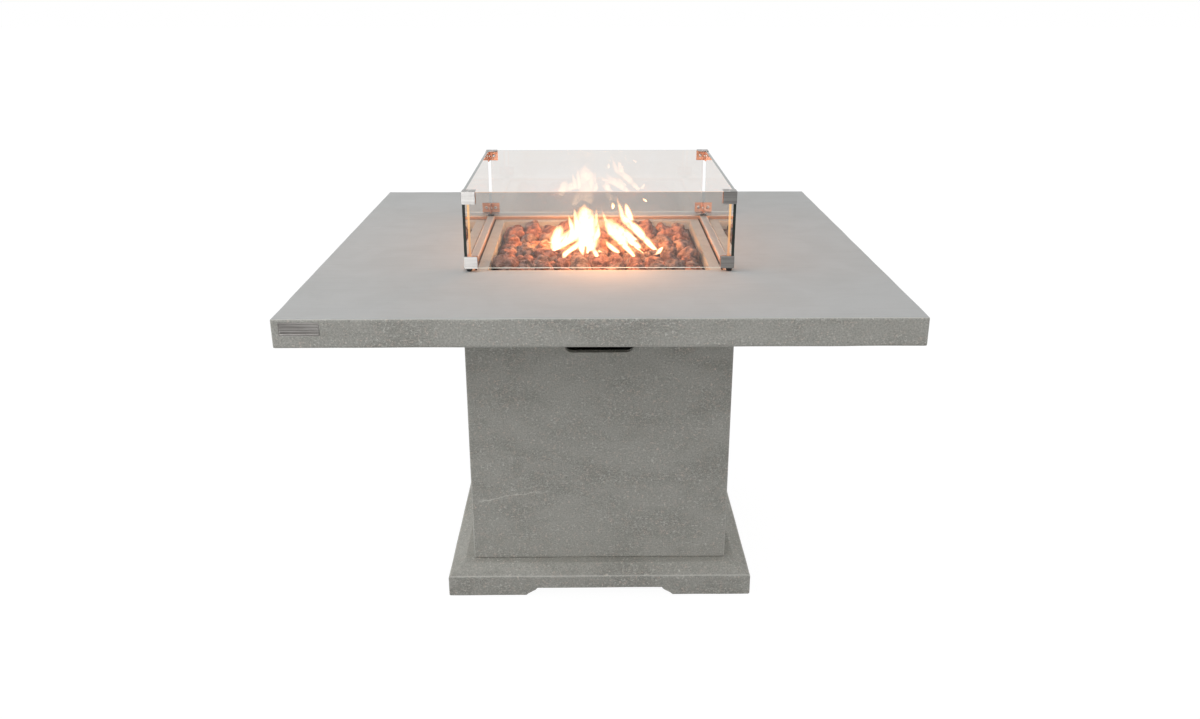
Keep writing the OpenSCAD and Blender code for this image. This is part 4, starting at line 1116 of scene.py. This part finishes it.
def soft_lamp(name, at, size, power):
    """A square lamp that looks at the middle of the table."""
    data = bpy.data.lights.new(name, "AREA")
    data.size = size
    data.energy = power
    lamp = linked(name, data)
    lamp.location = at
    lamp.rotation_euler = (LAMP_AIM - Vector(at)).to_track_quat("-Z", "Y").to_euler()


def fire_lamps():
    """The fire's light, from small lamps that no mirror shows."""
    for number, (at, power) in enumerate(FIRE_LAMPS):
        name = f"fire_{number}"
        data = bpy.data.lights.new(name, "POINT")
        data.energy = power
        data.color = FIRE_COLOUR
        data.shadow_soft_size = FIRE_LAMP_SIZE
        lamp = linked(name, data)
        lamp.location = at
        lamp.visible_glossy = False


def reflector():
    """A bent card in front of the table that only mirrors see, bright high on the left."""
    f = Finish("reflector")
    clouds = f.clouds(1.5, 2)
    across = f.math("ADD", f.part(f.place, "X"), f.span(clouds, 0.3, 0.7, -0.1, 0.1))
    on_left = f.span(across, *CARD_LEFT, 1.0, 0.0)
    high_left = f.math("MULTIPLY", on_left, f.span(f.part(f.place, "Z"), *CARD_HIGH))
    strength = f.math("MULTIPLY_ADD", high_left, CARD["added"], CARD["light"])
    strength = f.math("MULTIPLY", strength, f.span(across, *CARD_DARK, 1.0, CARD_DARK_SHARE))
    material = f.done(f.node("ShaderNodeEmission", {"Color": WHITE, "Strength": strength}).outputs[0])
    half = CARD["width"] / 2
    section = ((CARD["near"], CARD["lift"]), (CARD["far"], CARD["lift"]), (CARD["far"], CARD["height"]))
    form = bmesh.new()
    rows = [[form.verts.new((x, y, z)) for x in (-half, half)] for y, z in section]
    for low, high in zip(rows, rows[1:]):
        form.faces.new((low[0], low[1], high[1], high[0]))
    card = linked("reflector", meshed("reflector", form, material))
    card.visible_camera = False
    card.visible_diffuse = False
    card.visible_shadow = False


def camera():
    """The camera at the photograph's viewing angle."""
    data = bpy.data.cameras.new("camera")
    data.sensor_width = SENSOR_MM
    data.lens = SENSOR_MM * FOCAL_PX / IMAGE_W
    view = linked("camera", data)
    view.location = EYE
    view.rotation_euler = (math.radians(90 - LOOK_DOWN), 0.0, math.radians(-LOOK_RIGHT))
    bpy.context.scene.camera = view


camera()
table()
floor()
sky()
soft_lamp("key_lamp", **KEY_LAMP)
reflector()
fire_lamps()
bpy.context.scene.view_settings.view_transform = "Standard"
bpy.context.scene.cycles.transparent_max_bounces = SEE_THROUGH_DEPTH
